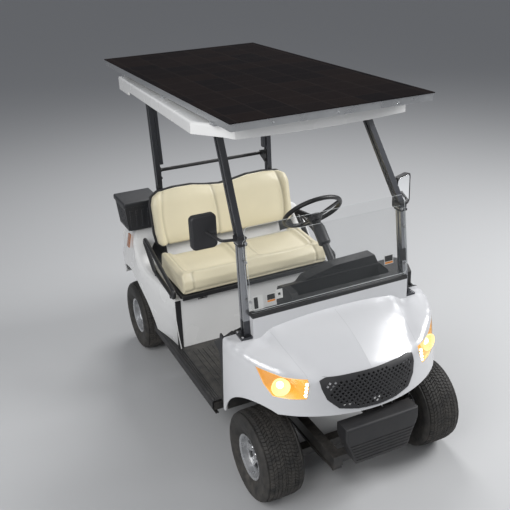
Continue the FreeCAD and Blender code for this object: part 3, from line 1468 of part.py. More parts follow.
def make_cooler_lid():
    x = N.cooler_x
    y = N.cooler_y
    low = N.cooler_base_height + N.cooler_high + 0.5
    lip = N.cooler_lid_lip
    wide = N.cooler_wide + lip * 2
    long = N.cooler_long + lip * 2
    block = Part.makeBox(wide, long, N.cooler_lid_high, Vector(x - wide / 2, y - long / 2, low))
    top = low + N.cooler_lid_high
    rim = [edge for edge in block.Edges if edge.BoundBox.ZMin > top - 1 or
           edge.BoundBox.ZLength > 10]
    return block.makeFillet(10, rim)


finish(shaped("cooler", make_cooler()), "cooler_box")
finish(shaped("cooler_cover", make_cooler_lid()), "cooler_lid")


# Mirrors on bent arms from the windscreen clamps.

def make_mirror(side, turn, mirror_x):
    wide = N.mirror_wide
    high = N.mirror_high
    deep = N.mirror_deep
    block = Part.makeBox(wide, deep, high, Vector(-wide / 2, -deep / 2, -high / 2))
    posts = [edge for edge in block.Edges if edge.BoundBox.YLength > deep - 1]
    block = block.makeFillet(N.mirror_corner, posts)
    rim = [edge for edge in block.Edges if edge.BoundBox.YMax < -deep / 2 + 1]
    block = block.makeFillet(11, rim)
    face = Part.makeBox(wide - 12, 3, high - 12, Vector(6 - wide / 2, deep / 2 - 3, 6 - high / 2))
    block = block.cut(face)
    block.Placement = Placement(Vector(side * mirror_x, N.mirror_y, N.mirror_height),
                                Rotation(Vector(0, 0, 1), turn))
    start = (side * (N.strut_bend_x + N.strut_wide / 2 + 4), N.strut_bend_y,
             N.strut_bend_height + 2)
    middle = (side * (mirror_x - 40), N.strut_bend_y + 10, N.strut_bend_height + 6)
    last = (side * (mirror_x - 6), N.mirror_y - 4, N.mirror_height)
    arm = bent_tube([start, middle, last], 7, 26)
    mirror = block.fuse(arm).cut(front_struts)
    return max(mirror.Solids, key=lambda solid: solid.Volume)


finish(shaped("mirror_l", make_mirror(1, 204, N.driver_mirror_x)), "mirror_left")
finish(shaped("mirror_r", make_mirror(-1, 0, N.mirror_x)), "mirror_right")


# Tail lamps on the fenders' rear corners and the two pedals on the toe board.

def make_tail_lamp(side):
    """Narrow lens that follows the fender's leaning rear corner."""
    low = N.body_fender_height - 46 - N.tail_lamp_high
    mid = (N.body_sill_height + N.body_fender_height) / 2 + 40
    fall = N.body_lean / (N.body_fender_height - 46 - mid)
    out = N.body_half_width + N.tail_lamp_proud - fall * (low - mid)
    corners = [(out, low), (out - fall * N.tail_lamp_high, low + N.tail_lamp_high),
               (out - fall * N.tail_lamp_high - 14, low + N.tail_lamp_high), (out - 14, low)]
    face = Part.Face(Part.makePolygon([Vector(x, N.tail_lamp_y, z)
                                       for x, z in corners + corners[:1]]))
    lamp = face.extrude(Vector(0, N.tail_lamp_wide, 0)).cut(body_shell.Shape)
    lamp = max(lamp.Solids, key=lambda solid: solid.CenterOfMass.x)
    return lamp if side > 0 else mirrored(lamp)


finish(shaped("tail_l", make_tail_lamp(1)), "tail_lamp_left")
finish(shaped("tail_r", make_tail_lamp(-1)), "tail_lamp_right")


def make_pedals():
    run = N.toe_top_y - N.floor_front_y
    rise = N.toe_top_height - N.floor_height
    angle = math.degrees(math.atan2(-run, rise))
    pieces = []
    for across, wide, up in ((214, N.pedal_wide, 150), (322, N.pedal_wide - 14, 120)):
        plate = Part.makeBox(wide, 8, N.pedal_high, Vector(across - wide / 2, 44, up))
        for rib in range(4):
            plate = plate.fuse(Part.makeBox(wide - 16, 3, 8, Vector(across - wide / 2 + 8, 52,
                                                                   up + 12 + 20 * rib)))
        stem = Part.makeBox(18, 44, 18, Vector(across - 9, 0, up + N.pedal_high / 2 - 9))
        pieces += [plate, stem]
    bar = Part.makeBox(170, 8, 40, Vector(186, 0, 160 + N.pedal_high / 2 - 40))
    shape = bar.fuse(pieces)
    shape.Placement = Placement(Vector(0, N.floor_front_y, N.floor_height),
                                Rotation(Vector(1, 0, 0), angle))
    return shape.removeSplitter()


finish(shaped("pedal_pair", make_pedals()), "pedals")


doc.recompute()
for item in doc.Objects:
    if "Invalid" in item.State or "Error" in item.State:
        raise RuntimeError("%s did not build: %s" % (item.Name, item.State))
os.makedirs("parts", exist_ok=True)
for item in NODES:
    if item.Shape.isNull() or not item.Shape.isValid() or item.Shape.Volume <= 0:
        raise RuntimeError("%s has no valid shape" % item.Label)
    item.Shape.exportStep("parts/%s.step" % item.Label)
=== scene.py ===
import json
import math

import bmesh
import bpy
import numpy as np
from bpy.props import (FloatProperty, FloatVectorProperty, IntProperty, PointerProperty)
from mathutils import Matrix, Vector


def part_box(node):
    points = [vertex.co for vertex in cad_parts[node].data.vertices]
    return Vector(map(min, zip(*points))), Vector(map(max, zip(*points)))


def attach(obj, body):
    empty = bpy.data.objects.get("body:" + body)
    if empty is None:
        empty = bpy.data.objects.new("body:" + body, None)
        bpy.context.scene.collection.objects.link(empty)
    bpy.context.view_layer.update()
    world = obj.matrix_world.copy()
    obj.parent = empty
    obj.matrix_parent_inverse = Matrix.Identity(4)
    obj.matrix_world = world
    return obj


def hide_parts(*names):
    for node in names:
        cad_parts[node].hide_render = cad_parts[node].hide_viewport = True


bl_info = {
    "name": "Golf cart dressing",
    "version": (1, 0, 0),
    "blender": (4, 5, 0),
    "location": "View3D > Sidebar > Golf Cart",
    "description": "Finishes, padded seats, tyres, lamps and small fittings of an open golf cart",
    "category": "Object",
}

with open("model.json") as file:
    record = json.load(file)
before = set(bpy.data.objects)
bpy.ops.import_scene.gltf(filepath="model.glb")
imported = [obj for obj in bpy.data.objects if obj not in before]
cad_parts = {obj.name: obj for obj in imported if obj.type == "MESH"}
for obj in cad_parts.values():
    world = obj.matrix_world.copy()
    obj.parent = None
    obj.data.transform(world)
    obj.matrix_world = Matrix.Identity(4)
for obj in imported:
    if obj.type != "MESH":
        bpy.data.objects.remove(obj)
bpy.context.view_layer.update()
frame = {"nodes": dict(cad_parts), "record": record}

# Sizes and heights that go with the CAD model, in metres
TYRE_RADIUS = 0.228
TYRE_HALF_WIDTH = 0.108
BEAD_RADIUS = 0.106
RIM_HALF_WIDTH = 0.091
RIM_FACE_DEPTH = 0.034
NUT_CIRCLE_RADIUS = 0.044
SEAT_PLACE_ACROSS = 0.238
SEAT_BACK_LEAN_DEGREES = 11
SEAT_BACK_HELD_DEPTH = 0.062
PANE_FOOT_ALONG = -0.722
PANE_FOOT_HEIGHT = 0.918
STRIP_PAINT_LEVEL = 0.901
STRUT_BRIGHT_FROM = 0.878
STRUT_BRIGHT_TO = 1.262
MIRROR_GLASS_SIZE = (0.112, 0.0016, 0.152)

# Places on it: across, along and height. Of a pair it is the left one.
SEAT_BACK_BASE = (0, 0.556, 0.778)
SEAT_HINGE = (0.355, 0.1565, 0.601)
FRONT_STRUT_FOOT = (0.452, -0.688, 0.805)
REAR_STRUT_FOOT = (0.372, 0.712, 0.840)
CORNER_STRIP = (0.508, 0.1628, 0.452)
LAMP_CENTRE = (0.408, -0.955, 0.650)
LAMP_GLOW_CENTRE = (0.395, -0.985, 0.655)
LOWEST_DIODE = (0.322, -1.035, 0.617)

# Across and along
STRUT_CLAMP = (0.439, -0.651)

# Along and height
MIRROR_PLACE = (-0.520, 1.293)

# How far each leans over a height: the pane back, the corner strip ahead
PANE_SLOPE = (0.046, 0.360)
CORNER_STRIP_SLOPE = (0.012, 0.3225)

# The camera solved on the photograph: its place, its right hand and the way it looks
CAMERA_PLACE = (-1.6791, -3.5728, 2.5958)
CAMERA_RIGHT = (0.90391, -0.42566, -0.04187)
CAMERA_AHEAD = (0.37427, 0.83454, -0.40431)

# Roughness of the clear coat on paint and plastic
COAT_ROUGHNESS = 0.06

# Each wheel: its corner, its body, and the way across in which its outer face looks
WHEELS = (("fl", "wheel_front_left", 1), ("fr", "wheel_front_right", -1),
          ("rl", "wheel_rear_left", 1), ("rr", "wheel_rear_right", -1))


# Sizes and colours that a user may change

class CartPaint(bpy.types.PropertyGroup):
    """Colours and shine of the cart's finishes."""
    panel: FloatVectorProperty(
        name="Body panels", description="White of the moulded body panels", subtype="COLOR",
        size=3, min=0, max=1, default=(0.80, 0.80, 0.79))
    # The cowl's white is darker than the body panels' white: partly its pearl finish, partly painted
    # shade
    hood: FloatVectorProperty(
        name="Front cowl", description="Pearl white of the front cowl, partly painted shade", subtype="COLOR",
        size=3, min=0, max=1, default=(0.66, 0.665, 0.68))
    plastic: FloatVectorProperty(
        name="Dark plastic", description="Charcoal of dash, sills and bumper", subtype="COLOR",
        size=3, min=0, max=1, default=(0.022, 0.022, 0.024))
    strut: FloatVectorProperty(
        name="Struts", description="Graphite of the roof struts", subtype="COLOR",
        size=3, min=0, max=1, default=(0.075, 0.078, 0.086))
    vinyl: FloatVectorProperty(
        name="Seat vinyl", description="Cream of the seat cover", subtype="COLOR",
        size=3, min=0, max=1, default=(0.72, 0.655, 0.47))
    rubber: FloatVectorProperty(
        name="Tyre rubber", description="Black of the tyres", subtype="COLOR",
        size=3, min=0, max=1, default=(0.018, 0.0175, 0.017))
    dust: FloatProperty(
        name="Dust", description="Share of road dust on low parts", subtype="FACTOR",
        min=0, max=1, default=0.35)
    lamp_glow: FloatProperty(
        name="Lamp glow", description="Strength of the lit headlamps", min=0, max=60, default=11.0)


class CartSeat(bpy.types.PropertyGroup):
    """Padding of the seat cushion and the seat back."""
    voxel: FloatProperty(
        name="Voxel", description="Grid of the padded mesh", unit="LENGTH",
        min=0.004, max=0.02, default=0.0085)
    pressure: FloatProperty(
        name="Pressure", description="Air pressure that swells the cover", min=0, max=20, default=4.0)
    swell: FloatProperty(
        name="Swell", description="Farthest that the cover may swell", unit="LENGTH",
        min=0, max=0.03, default=0.007)
    tuck: FloatProperty(
        name="Tuck", description="How far the padding starts inside the solid", unit="LENGTH",
        min=0, max=0.02, default=0.005)
    seam_depth: FloatProperty(
        name="Seam depth", description="Depth of the sewn seams", unit="LENGTH",
        min=0, max=0.01, default=0.0055)
    seam_width: FloatProperty(
        name="Seam width", description="Half-width of the sewn seams", unit="LENGTH",
        min=0.001, max=0.02, default=0.0075)


class CartWheels(bpy.types.PropertyGroup):
    """Tread of the tyres and nuts of the wheels."""
    blocks: IntProperty(
        name="Blocks", description="Tread blocks round one tyre", min=24, max=160, default=78)
    tread: FloatProperty(
        name="Tread", description="Height of the tread blocks", unit="LENGTH",
        min=0.001, max=0.01, default=0.0045)
    gap: FloatProperty(
        name="Groove", description="Half-width of the grooves between blocks", unit="LENGTH",
        min=0.0005, max=0.006, default=0.0017)
    nuts: IntProperty(name="Nuts", description="Nuts on one wheel", min=3, max=8, default=5)


class CartStage(bpy.types.PropertyGroup):
    """Floor, lights and camera."""
    floor: FloatVectorProperty(
        name="Floor", description="Pale studio floor", subtype="COLOR",
        size=3, min=0, max=1, default=(0.50, 0.505, 0.51))
    key: FloatProperty(name="Key light", description="Power of the key light", unit="POWER",
                       min=0, max=5000, default=360)
    fill: FloatProperty(name="Fill light", description="Power of the fill light", unit="POWER",
                        min=0, max=5000, default=230)
    rim: FloatProperty(name="Rim light", description="Power of the rim light", unit="POWER",
                       min=0, max=5000, default=260)
    sky: FloatProperty(name="Sky", description="Strength of the even light", min=0, max=5,
                       default=0.36)
    exposure: FloatProperty(name="Exposure", description="Exposure of the picture", min=-4,
                            max=4, default=-0.55)
    lens: FloatProperty(name="Lens", description="Focal length on a 36 mm sensor",
                        min=10, max=200, default=53.315)


# Node building

def add_node(tree, kind, values=None, **settings):
    """A node with its settings, and values or links for its inputs."""
    node = tree.nodes.new(kind)
    for name, value in settings.items():
        setattr(node, name, value)
    for name, value in (values or {}).items():
        feed(tree, node.inputs[name], value)
    return node


def feed(tree, socket, value):
    """Set a socket to a number or colour, or link another socket to it."""
    if isinstance(value, bpy.types.NodeSocket):
        tree.links.new(value, socket)
    elif socket.type == "RGBA" and len(value) == 3:
        socket.default_value = (*value, 1)
    else:
        socket.default_value = value


def math_node(tree, operation, first, second=0.0, clamp=False):
    """Result of a sum or test of two values."""
    node = add_node(tree, "ShaderNodeMath", operation=operation, use_clamp=clamp)
    feed(tree, node.inputs[0], first)
    feed(tree, node.inputs[1], second)
    return node.outputs[0]


def mixed(tree, share, first, second):
    """Colour between two colours."""
    node = add_node(tree, "ShaderNodeMix", data_type="RGBA")
    feed(tree, node.inputs[0], share)
    feed(tree, node.inputs[6], first)
    feed(tree, node.inputs[7], second)
    return node.outputs[2]


def object_place(tree):
    """Place of the shaded point in the object's own frame."""
    return add_node(tree, "ShaderNodeTexCoord").outputs["Object"]


def axes_of(tree, vector):
    """The X, Y and Z of a vector."""
    return add_node(tree, "ShaderNodeSeparateXYZ", {"Vector": vector}).outputs


def ranged(tree, value, to_min, to_max, from_min=0.0, from_max=1.0):
    """Value moved from one range into another, and held there."""
    return add_node(tree, "ShaderNodeMapRange",
                    {"Value": value, "From Min": from_min, "From Max": from_max,
                     "To Min": to_min, "To Max": to_max}).outputs[0]


def noise(tree, place, scale, detail=2.0, roughness=0.5):
    """Factor of a noise texture."""
    return add_node(tree, "ShaderNodeTexNoise",
                    {"Vector": place, "Scale": scale, "Detail": detail,
                     "Roughness": roughness}).outputs["Fac"]


def bumped(tree, height, strength, distance, normal=None):
    """Normal raised by a height, over another normal if there is one."""
    values = {"Height": height, "Strength": strength, "Distance": distance}
    if normal is not None:
        values["Normal"] = normal
    return add_node(tree, "ShaderNodeBump", values).outputs[0]


def new_group(name, inputs, outputs):
    """A shader group with named sockets, and its input and output nodes."""
    tree = bpy.data.node_groups.new(name, "ShaderNodeTree")
    for direction, sockets in (("INPUT", inputs), ("OUTPUT", outputs)):
        for label, (socket_type, default) in sockets.items():
            socket = tree.interface.new_socket(label, in_out=direction,
                                               socket_type="NodeSocket" + socket_type)
            if default is not None:
                socket.default_value = default
    return tree, tree.nodes.new("NodeGroupInput"), tree.nodes.new("NodeGroupOutput")


def moulded_grain():
    """Fine stipple of moulded plastic, with slow changes of tone."""
    tree, given, result = new_group(
        "moulded_grain", {"Scale": ("Float", 900.0)},
        {"Height": ("Float", None), "Tone": ("Float", None)})
    where = object_place(tree)
    cells = add_node(tree, "ShaderNodeTexVoronoi", {"Vector": where, "Scale": given.outputs[0]},
                     feature="SMOOTH_F1")
    feed(tree, result.inputs["Height"], cells.outputs["Distance"])
    feed(tree, result.inputs["Tone"], noise(tree, where, 5.0, 4.0))
    return tree


def vinyl_grain():
    """Pebbled grain of seat vinyl, with faint stretch marks."""
    tree, given, result = new_group(
        "vinyl_grain", {"Scale": ("Float", 420.0)},
        {"Height": ("Float", None), "Tone": ("Float", None)})
    where = object_place(tree)
    bend = add_node(tree, "ShaderNodeTexNoise", {"Vector": where, "Scale": 60.0})
    shifted = add_node(tree, "ShaderNodeVectorMath", operation="MULTIPLY_ADD")
    feed(tree, shifted.inputs[0], bend.outputs["Color"])
    shifted.inputs[1].default_value = (0.004, 0.004, 0.004)
    feed(tree, shifted.inputs[2], where)
    pebbles = add_node(tree, "ShaderNodeTexVoronoi",
                       {"Vector": shifted.outputs[0], "Scale": given.outputs[0]},
                       feature="DISTANCE_TO_EDGE")
    ridge = ranged(tree, pebbles.outputs["Distance"], 0.0, 1.0, from_max=0.22)
    feed(tree, result.inputs["Height"], ridge)
    feed(tree, result.inputs["Tone"], noise(tree, where, 7.0, 5.0))
    return tree


def drawn_grain():
    """Long fine lines of drawn or brushed metal."""
    tree, given, result = new_group(
        "drawn_grain", {"Stretch": ("Vector", (900.0, 900.0, 12.0))},
        {"Height": ("Float", None), "Tone": ("Float", None)})
    where = object_place(tree)
    scaled = add_node(tree, "ShaderNodeVectorMath", operation="MULTIPLY")
    feed(tree, scaled.inputs[0], where)
    feed(tree, scaled.inputs[1], given.outputs[0])
    feed(tree, result.inputs["Height"], noise(tree, scaled.outputs[0], 1.0, 3.0))
    feed(tree, result.inputs["Tone"], noise(tree, where, 9.0, 3.0))
    return tree


def edge_wear():
    """Mask of worn edges, which on the cooler is a painted highlight, and a normal that softens them.
    """
    tree, given, result = new_group(
        "edge_wear", {"Radius": ("Float", 0.002), "Amount": ("Float", 0.5)},
        {"Mask": ("Float", None), "Normal": ("Vector", None)})
    where = object_place(tree)
    rounded = add_node(tree, "ShaderNodeBevel", {"Radius": given.outputs["Radius"]}, samples=4)
    surface = add_node(tree, "ShaderNodeNewGeometry")
    facing = add_node(tree, "ShaderNodeVectorMath", operation="DOT_PRODUCT")
    feed(tree, facing.inputs[0], rounded.outputs[0])
    feed(tree, facing.inputs[1], surface.outputs["Normal"])
    turned = math_node(tree, "SUBTRACT", 1.0, facing.outputs["Value"])
    patchy = ranged(tree, noise(tree, where, 130.0, 6.0), 0.0, 1.0, 0.42, 0.62)
    strong = math_node(tree, "MULTIPLY", turned, 9.0, True)
    worn = math_node(tree, "MULTIPLY", strong, patchy)
    feed(tree, result.inputs["Mask"], math_node(tree, "MULTIPLY", worn, given.outputs["Amount"]))
    feed(tree, result.inputs["Normal"], rounded.outputs[0])
    return tree


def road_dust():
    """Colour under settled dust: more of it low down and on faces that look up."""
    tree, given, result = new_group(
        "road_dust", {"Color": ("Color", None), "Amount": ("Float", 0.3), "Height": ("Float", 0.5)},
        {"Color": ("Color", None), "Mask": ("Float", None)})
    where = object_place(tree)
    level = axes_of(tree, where)["Z"]
    low = math_node(tree, "SUBTRACT", 1.0, math_node(tree, "DIVIDE", level,
                                                     given.outputs["Height"]), True)
    surface = add_node(tree, "ShaderNodeNewGeometry").outputs["Normal"]
    up = axes_of(tree, surface)["Z"]
    upward = math_node(tree, "MAXIMUM", math_node(tree, "MULTIPLY", up, 0.22), 0.0)
    cloud = ranged(tree, noise(tree, where, 22.0, 8.0, 0.66), 0.0, 1.0, 0.35, 0.75)
    both = math_node(tree, "ADD", low, upward)
    mask = math_node(tree, "MULTIPLY", math_node(tree, "MULTIPLY", both, cloud),
                     given.outputs["Amount"], True)
    feed(tree, result.inputs["Mask"], mask)
    feed(tree, result.inputs["Color"], mixed(tree, mask, given.outputs["Color"],
                                             (0.30, 0.27, 0.23)))
    return tree


GROUP_MAKERS = {"moulded_grain": moulded_grain, "vinyl_grain": vinyl_grain,
                "drawn_grain": drawn_grain, "edge_wear": edge_wear, "road_dust": road_dust}

# Shared node groups that are made already, by name
GROUPS = {}


def group_node(tree, name, values=None):
    """A shared group placed in a material."""
    if name not in GROUPS:
        GROUPS[name] = GROUP_MAKERS[name]()
    node = tree.nodes.new("ShaderNodeGroup")
    node.node_tree = GROUPS[name]
    for label, value in (values or {}).items():
        feed(tree, node.inputs[label], value)
    return node


def new_material(name):
    """A material with its Principled shader, and its tree."""
    material = bpy.data.materials.new(name)
    material.use_nodes = True
    tree = material.node_tree
    tree.nodes.clear()
    shader = add_node(tree, "ShaderNodeBsdfPrincipled")
    out = add_node(tree, "ShaderNodeOutputMaterial")
    tree.links.new(shader.outputs[0], out.inputs["Surface"])
    return material, tree, shader


def finished(material, tree, shader, values):
    """The material, with values or links for its shader's inputs."""
    for label, value in values.items():
        feed(tree, shader.inputs[label], value)
    return material


def tinted(color, share):
    """Colour made darker or lighter by a share."""
    return tuple(channel * share for channel in color)


def hard_finish(name, color, grain, grain_values, depth, distance, roughness, spread=0.08,
                metallic=0.0, coat=0.0, wear_and_highlight=0.3, bare=(0.35, 0.35, 0.35), dust=0.0,
                radius=0.0015, vary=0.12):
    """Hard surface: toned colour, grain bump, worn edges, which on the cooler are a painted
    highlight, and dust.
    """
    material, tree, shader = new_material(name)
    texture = group_node(tree, grain, grain_values)
    edges = group_node(tree, "edge_wear", {"Radius": radius, "Amount": wear_and_highlight})
    toned = mixed(tree, texture.outputs["Tone"], tinted(color, 1 - vary), tinted(color, 1 + vary))
    worn = mixed(tree, edges.outputs["Mask"], toned, bare)
    dusty = group_node(tree, "road_dust", {"Color": worn, "Amount": dust})
    rough = ranged(tree, texture.outputs["Tone"], roughness - spread, roughness + spread,
                   0.3, 0.7)
    rougher = math_node(tree, "ADD", rough,
                        math_node(tree, "MULTIPLY", dusty.outputs["Mask"], 0.4), True)
    bump = bumped(tree, texture.outputs["Height"], depth, distance, edges.outputs["Normal"])
    return finished(material, tree, shader, {
        "Base Color": dusty.outputs["Color"], "Roughness": rougher, "Metallic": metallic,
        "Coat Weight": coat, "Coat Roughness": COAT_ROUGHNESS, "Normal": bump})


def strut_finish(color, bright):
    """Drawn tube: graphite, and bright metal on the front struts between two heights."""
    middle_y = -0.3
    material, tree, shader = new_material("strut_tube")
    texture = group_node(tree, "drawn_grain", {"Stretch": (900.0, 900.0, 14.0)})
    edges = group_node(tree, "edge_wear", {"Radius": 0.0015, "Amount": 0.5})
    where = object_place(tree)
    spot = axes_of(tree, where)
    below = math_node(tree, "LESS_THAN", spot["Z"], STRUT_BRIGHT_TO)
    above = math_node(tree, "GREATER_THAN", spot["Z"], STRUT_BRIGHT_FROM)
    ahead = math_node(tree, "LESS_THAN", spot["Y"], middle_y)
    lower = math_node(tree, "MULTIPLY", math_node(tree, "MULTIPLY", below, above), ahead)
    base = mixed(tree, lower, color, bright)
    toned = mixed(tree, texture.outputs["Tone"], base, (0.09, 0.09, 0.1))
    shade = mixed(tree, 0.3, base, toned)
    worn = mixed(tree, edges.outputs["Mask"], shade, (0.45, 0.45, 0.46))
    bump = bumped(tree, texture.outputs["Height"], 0.12, 0.0003, edges.outputs["Normal"])
    rough = math_node(tree, "SUBTRACT", 0.32, math_node(tree, "MULTIPLY", lower, 0.1))
    return finished(material, tree, shader, {
        "Base Color": worn, "Roughness": rough, "Metallic": 0.85, "Coat Weight": 0.25,
        "Coat Roughness": COAT_ROUGHNESS, "Normal": bump})


def hood_finish(color, dark):
    """Pearl paint, its white darker than the body panels' partly as painted shade, with fine crease
    lines on the hood, grooved and darkened as painted shade, and a dark rear flange.
    """
    crease_across, crease_spread, nose_y = 0.300, 0.2, -1.02
    line_half_width = 0.0016
    hood_low, hood_end_y, flange_y = 0.695, -0.752, -0.661
    material, tree, shader = new_material("pearl_panel")
    where = object_place(tree)
    spot = axes_of(tree, where)
    across = math_node(tree, "ABSOLUTE", spot["X"])
    along = spot["Y"]
    reach = math_node(tree, "ADD", crease_across, math_node(
        tree, "MULTIPLY", math_node(tree, "ADD", along, -nose_y), crease_spread))
    side = math_node(tree, "ABSOLUTE", math_node(tree, "SUBTRACT", across, reach))
    nearest = math_node(tree, "MINIMUM", side, across)
    line = ranged(tree, nearest, 1.0, 0.0, from_max=line_half_width)
    above = math_node(tree, "GREATER_THAN", spot["Z"], hood_low)
    ahead = math_node(tree, "LESS_THAN", along, hood_end_y)
    crease = math_node(tree, "MULTIPLY", line, math_node(tree, "MULTIPLY", above, ahead))
    flange = math_node(tree, "GREATER_THAN", along, flange_y)
    texture = group_node(tree, "moulded_grain", {"Scale": 1100.0})
    toned = mixed(tree, texture.outputs["Tone"], tinted(color, 0.98), tinted(color, 1.02))
    # The crease lines and the middle keel line are drawn darker: painted shade in the hood's creases
    drawn = mixed(tree, math_node(tree, "MULTIPLY", crease, 0.4), toned, tinted(color, 0.45))
    both = mixed(tree, flange, drawn, dark)
    dusty = group_node(tree, "road_dust", {"Color": both, "Amount": 0.04})
    grooved = math_node(tree, "SUBTRACT", texture.outputs["Height"],
                        math_node(tree, "MULTIPLY", crease, 3.0))
    bump = bumped(tree, grooved, 0.05, 0.0004)
    rough = math_node(tree, "ADD", 0.27, math_node(tree, "MULTIPLY", flange, 0.22))
    coat = math_node(tree, "MULTIPLY", math_node(tree, "SUBTRACT", 1.0, flange), 0.7)
    return finished(material, tree, shader, {
        "Base Color": dusty.outputs["Color"], "Roughness": rough, "Metallic": 0.1,
        "Coat Weight": coat, "Coat Roughness": COAT_ROUGHNESS, "Normal": bump})


def banded_strip(dark, painted):
    """Dark strip under the windscreen, painted like the hood below a level."""
    material, tree, shader = new_material("screen_strip")
    texture = group_node(tree, "moulded_grain", {"Scale": 1100.0})
    where = object_place(tree)
    below = math_node(tree, "LESS_THAN", axes_of(tree, where)["Z"], STRIP_PAINT_LEVEL)
    base = mixed(tree, below, dark, painted)
    toned = mixed(tree, texture.outputs["Tone"], base, mixed(tree, 0.06, base, (0, 0, 0)))
    bump = bumped(tree, texture.outputs["Height"], 0.15, 0.0004)
    rough = math_node(tree, "SUBTRACT", 0.42, math_node(tree, "MULTIPLY", below, 0.14))
    coat = math_node(tree, "MULTIPLY", below, 0.6)
    return finished(material, tree, shader, {
        "Base Color": toned, "Roughness": rough, "Coat Weight": coat,
        "Coat Roughness": COAT_ROUGHNESS, "Normal": bump})


def vinyl_finish(color):
    """Cream seat vinyl with pebbled grain, seam shade and a soft sheen."""
    material, tree, shader = new_material("seat_vinyl")
    texture = group_node(tree, "vinyl_grain", {"Scale": 430.0})
    toned = mixed(tree, texture.outputs["Tone"], tinted(color, 0.93), tinted(color, 1.05))
    seam = add_node(tree, "ShaderNodeAttribute", attribute_name="seam").outputs["Fac"]
    shaded = mixed(tree, math_node(tree, "MULTIPLY", seam, 0.38), toned, tinted(color, 0.42))
    bump = bumped(tree, texture.outputs["Height"], 0.16, 0.0006)
    rough = ranged(tree, texture.outputs["Tone"], 0.36, 0.48, 0.3, 0.7)
    return finished(material, tree, shader, {
        "Base Color": shaded, "Roughness": rough, "Normal": bump, "Sheen Weight": 0.12,
        "Coat Weight": 0.12, "Coat Roughness": 0.3})


def clear_finish(name, color, alpha, edge_alpha, roughness, rim=0.0):
    """Thin clear pane: almost nothing face on, more at a grazing angle and on its rim."""
    rim_turn, rim_color = 0.6, (0.72, 0.75, 0.76)
    material, tree, shader = new_material(name)
    graze = add_node(tree, "ShaderNodeLayerWeight", {"Blend": 0.35}).outputs["Facing"]
    scratches = group_node(tree, "drawn_grain", {"Stretch": (30.0, 30.0, 260.0)})
    seen = ranged(tree, graze, alpha, edge_alpha)
    hazy = math_node(tree, "ADD", seen, math_node(
        tree, "MULTIPLY", scratches.outputs["Tone"], 0.012), True)
    facing = add_node(tree, "ShaderNodeTexCoord").outputs["Normal"]
    turned = axes_of(tree, facing)["Y"]
    edge = math_node(tree, "LESS_THAN", math_node(tree, "ABSOLUTE", turned), rim_turn)
    rimmed = math_node(tree, "MULTIPLY", edge, rim)
    hazy = math_node(tree, "MAXIMUM", hazy, rimmed)
    toned = mixed(tree, rimmed, color, rim_color)
    rough = ranged(tree, scratches.outputs["Height"], roughness, roughness + 0.06)
    material.surface_render_method = "BLENDED"
    return finished(material, tree, shader, {
        "Base Color": toned, "Alpha": hazy, "Roughness": rough, "Coat Weight": 0.25,
        "Coat Roughness": 0.02})


def cell_finish():
    """Black solar glass over faint square cells and thin conductor lines."""
    cell_pitch = 0.159
    material, tree, shader = new_material("solar_cells")
    where = object_place(tree)
    cells = add_node(tree, "ShaderNodeTexBrick",
                     {"Vector": where, "Scale": 1.0, "Color1": (0.010, 0.009, 0.010, 1),
                      "Color2": (0.014, 0.011, 0.011, 1), "Mortar": (0.032, 0.027, 0.025, 1),
                      "Mortar Size": 0.0012, "Mortar Smooth": 0.2,
                      "Brick Width": cell_pitch, "Row Height": cell_pitch}, offset=0.0, squash=1.0)
    lines = add_node(tree, "ShaderNodeTexWave", {"Vector": where, "Scale": 19.6},
                     wave_type="BANDS", bands_direction="X")
    thin = math_node(tree, "GREATER_THAN", lines.outputs["Fac"], 0.996)
    color = mixed(tree, math_node(tree, "MULTIPLY", thin, 0.35), cells.outputs["Color"],
                  (0.05, 0.043, 0.04))
    dusty = group_node(tree, "road_dust", {"Color": color, "Amount": 0.03, "Height": 0.01})
    rough = ranged(tree, noise(tree, where, 3.0, 6.0), 0.22, 0.4)
    return finished(material, tree, shader, {
        "Base Color": dusty.outputs["Color"], "Roughness": rough, "IOR": 1.012,
        "Specular Tint": (0.75, 0.6, 0.5)})


def seen_glow(tree, strength):
    """Strength of a glow that the camera sees in full and the floor hardly gets."""
    path = add_node(tree, "ShaderNodeLightPath")
    share = math_node(tree, "MAXIMUM", path.outputs["Is Camera Ray"], 0.12)
    return math_node(tree, "MULTIPLY", share, strength)


def glow_finish(name, centre, reach, strength):
    """Lamp bowl that glows warm white at its centre and amber at its rim."""
    material, tree, shader = new_material(name)
    where = object_place(tree)
    folded = add_node(tree, "ShaderNodeVectorMath", operation="ABSOLUTE")
    feed(tree, folded.inputs[0], where)
    away = add_node(tree, "ShaderNodeVectorMath", operation="DISTANCE")
    feed(tree, away.inputs[0], folded.outputs[0])
    away.inputs[1].default_value = [abs(part) for part in centre]
    ramp = add_node(tree, "ShaderNodeValToRGB")
    feed(tree, ramp.inputs[0], math_node(tree, "DIVIDE", away.outputs["Value"], reach))
    stops = ramp.color_ramp.elements
    stops[0].position, stops[0].color = 0.18, (1.0, 0.80, 0.42, 1)
    stops[1].position, stops[1].color = 0.42, (1.0, 0.46, 0.03, 1)
    stops.new(0.9).color = (0.62, 0.21, 0.005, 1)
    return finished(material, tree, shader, {
        "Base Color": (0.75, 0.72, 0.62), "Metallic": 0.9, "Roughness": 0.22,
        "Emission Color": ramp.outputs[0], "Emission Strength": seen_glow(tree, strength)})


def lit_finish(name, color, strength):
    """Evenly lit diode or bulb, a little darker in its grain."""
    material, tree, shader = new_material(name)
    texture = group_node(tree, "moulded_grain", {"Scale": 500.0})
    toned = mixed(tree, texture.outputs["Tone"], tinted(color, 0.85), color)
    return finished(material, tree, shader, {
        "Base Color": toned, "Roughness": 0.2, "Emission Color": toned,
        "Emission Strength": seen_glow(tree, strength)})


def printed_film(name, color):
    """Plain printed film of a bare label."""
    material, tree, shader = new_material(name)
    texture = group_node(tree, "moulded_grain", {"Scale": 300.0})
    toned = mixed(tree, texture.outputs["Tone"], tinted(color, 0.92), color)
    return finished(material, tree, shader, {"Base Color": toned, "Roughness": 0.4})


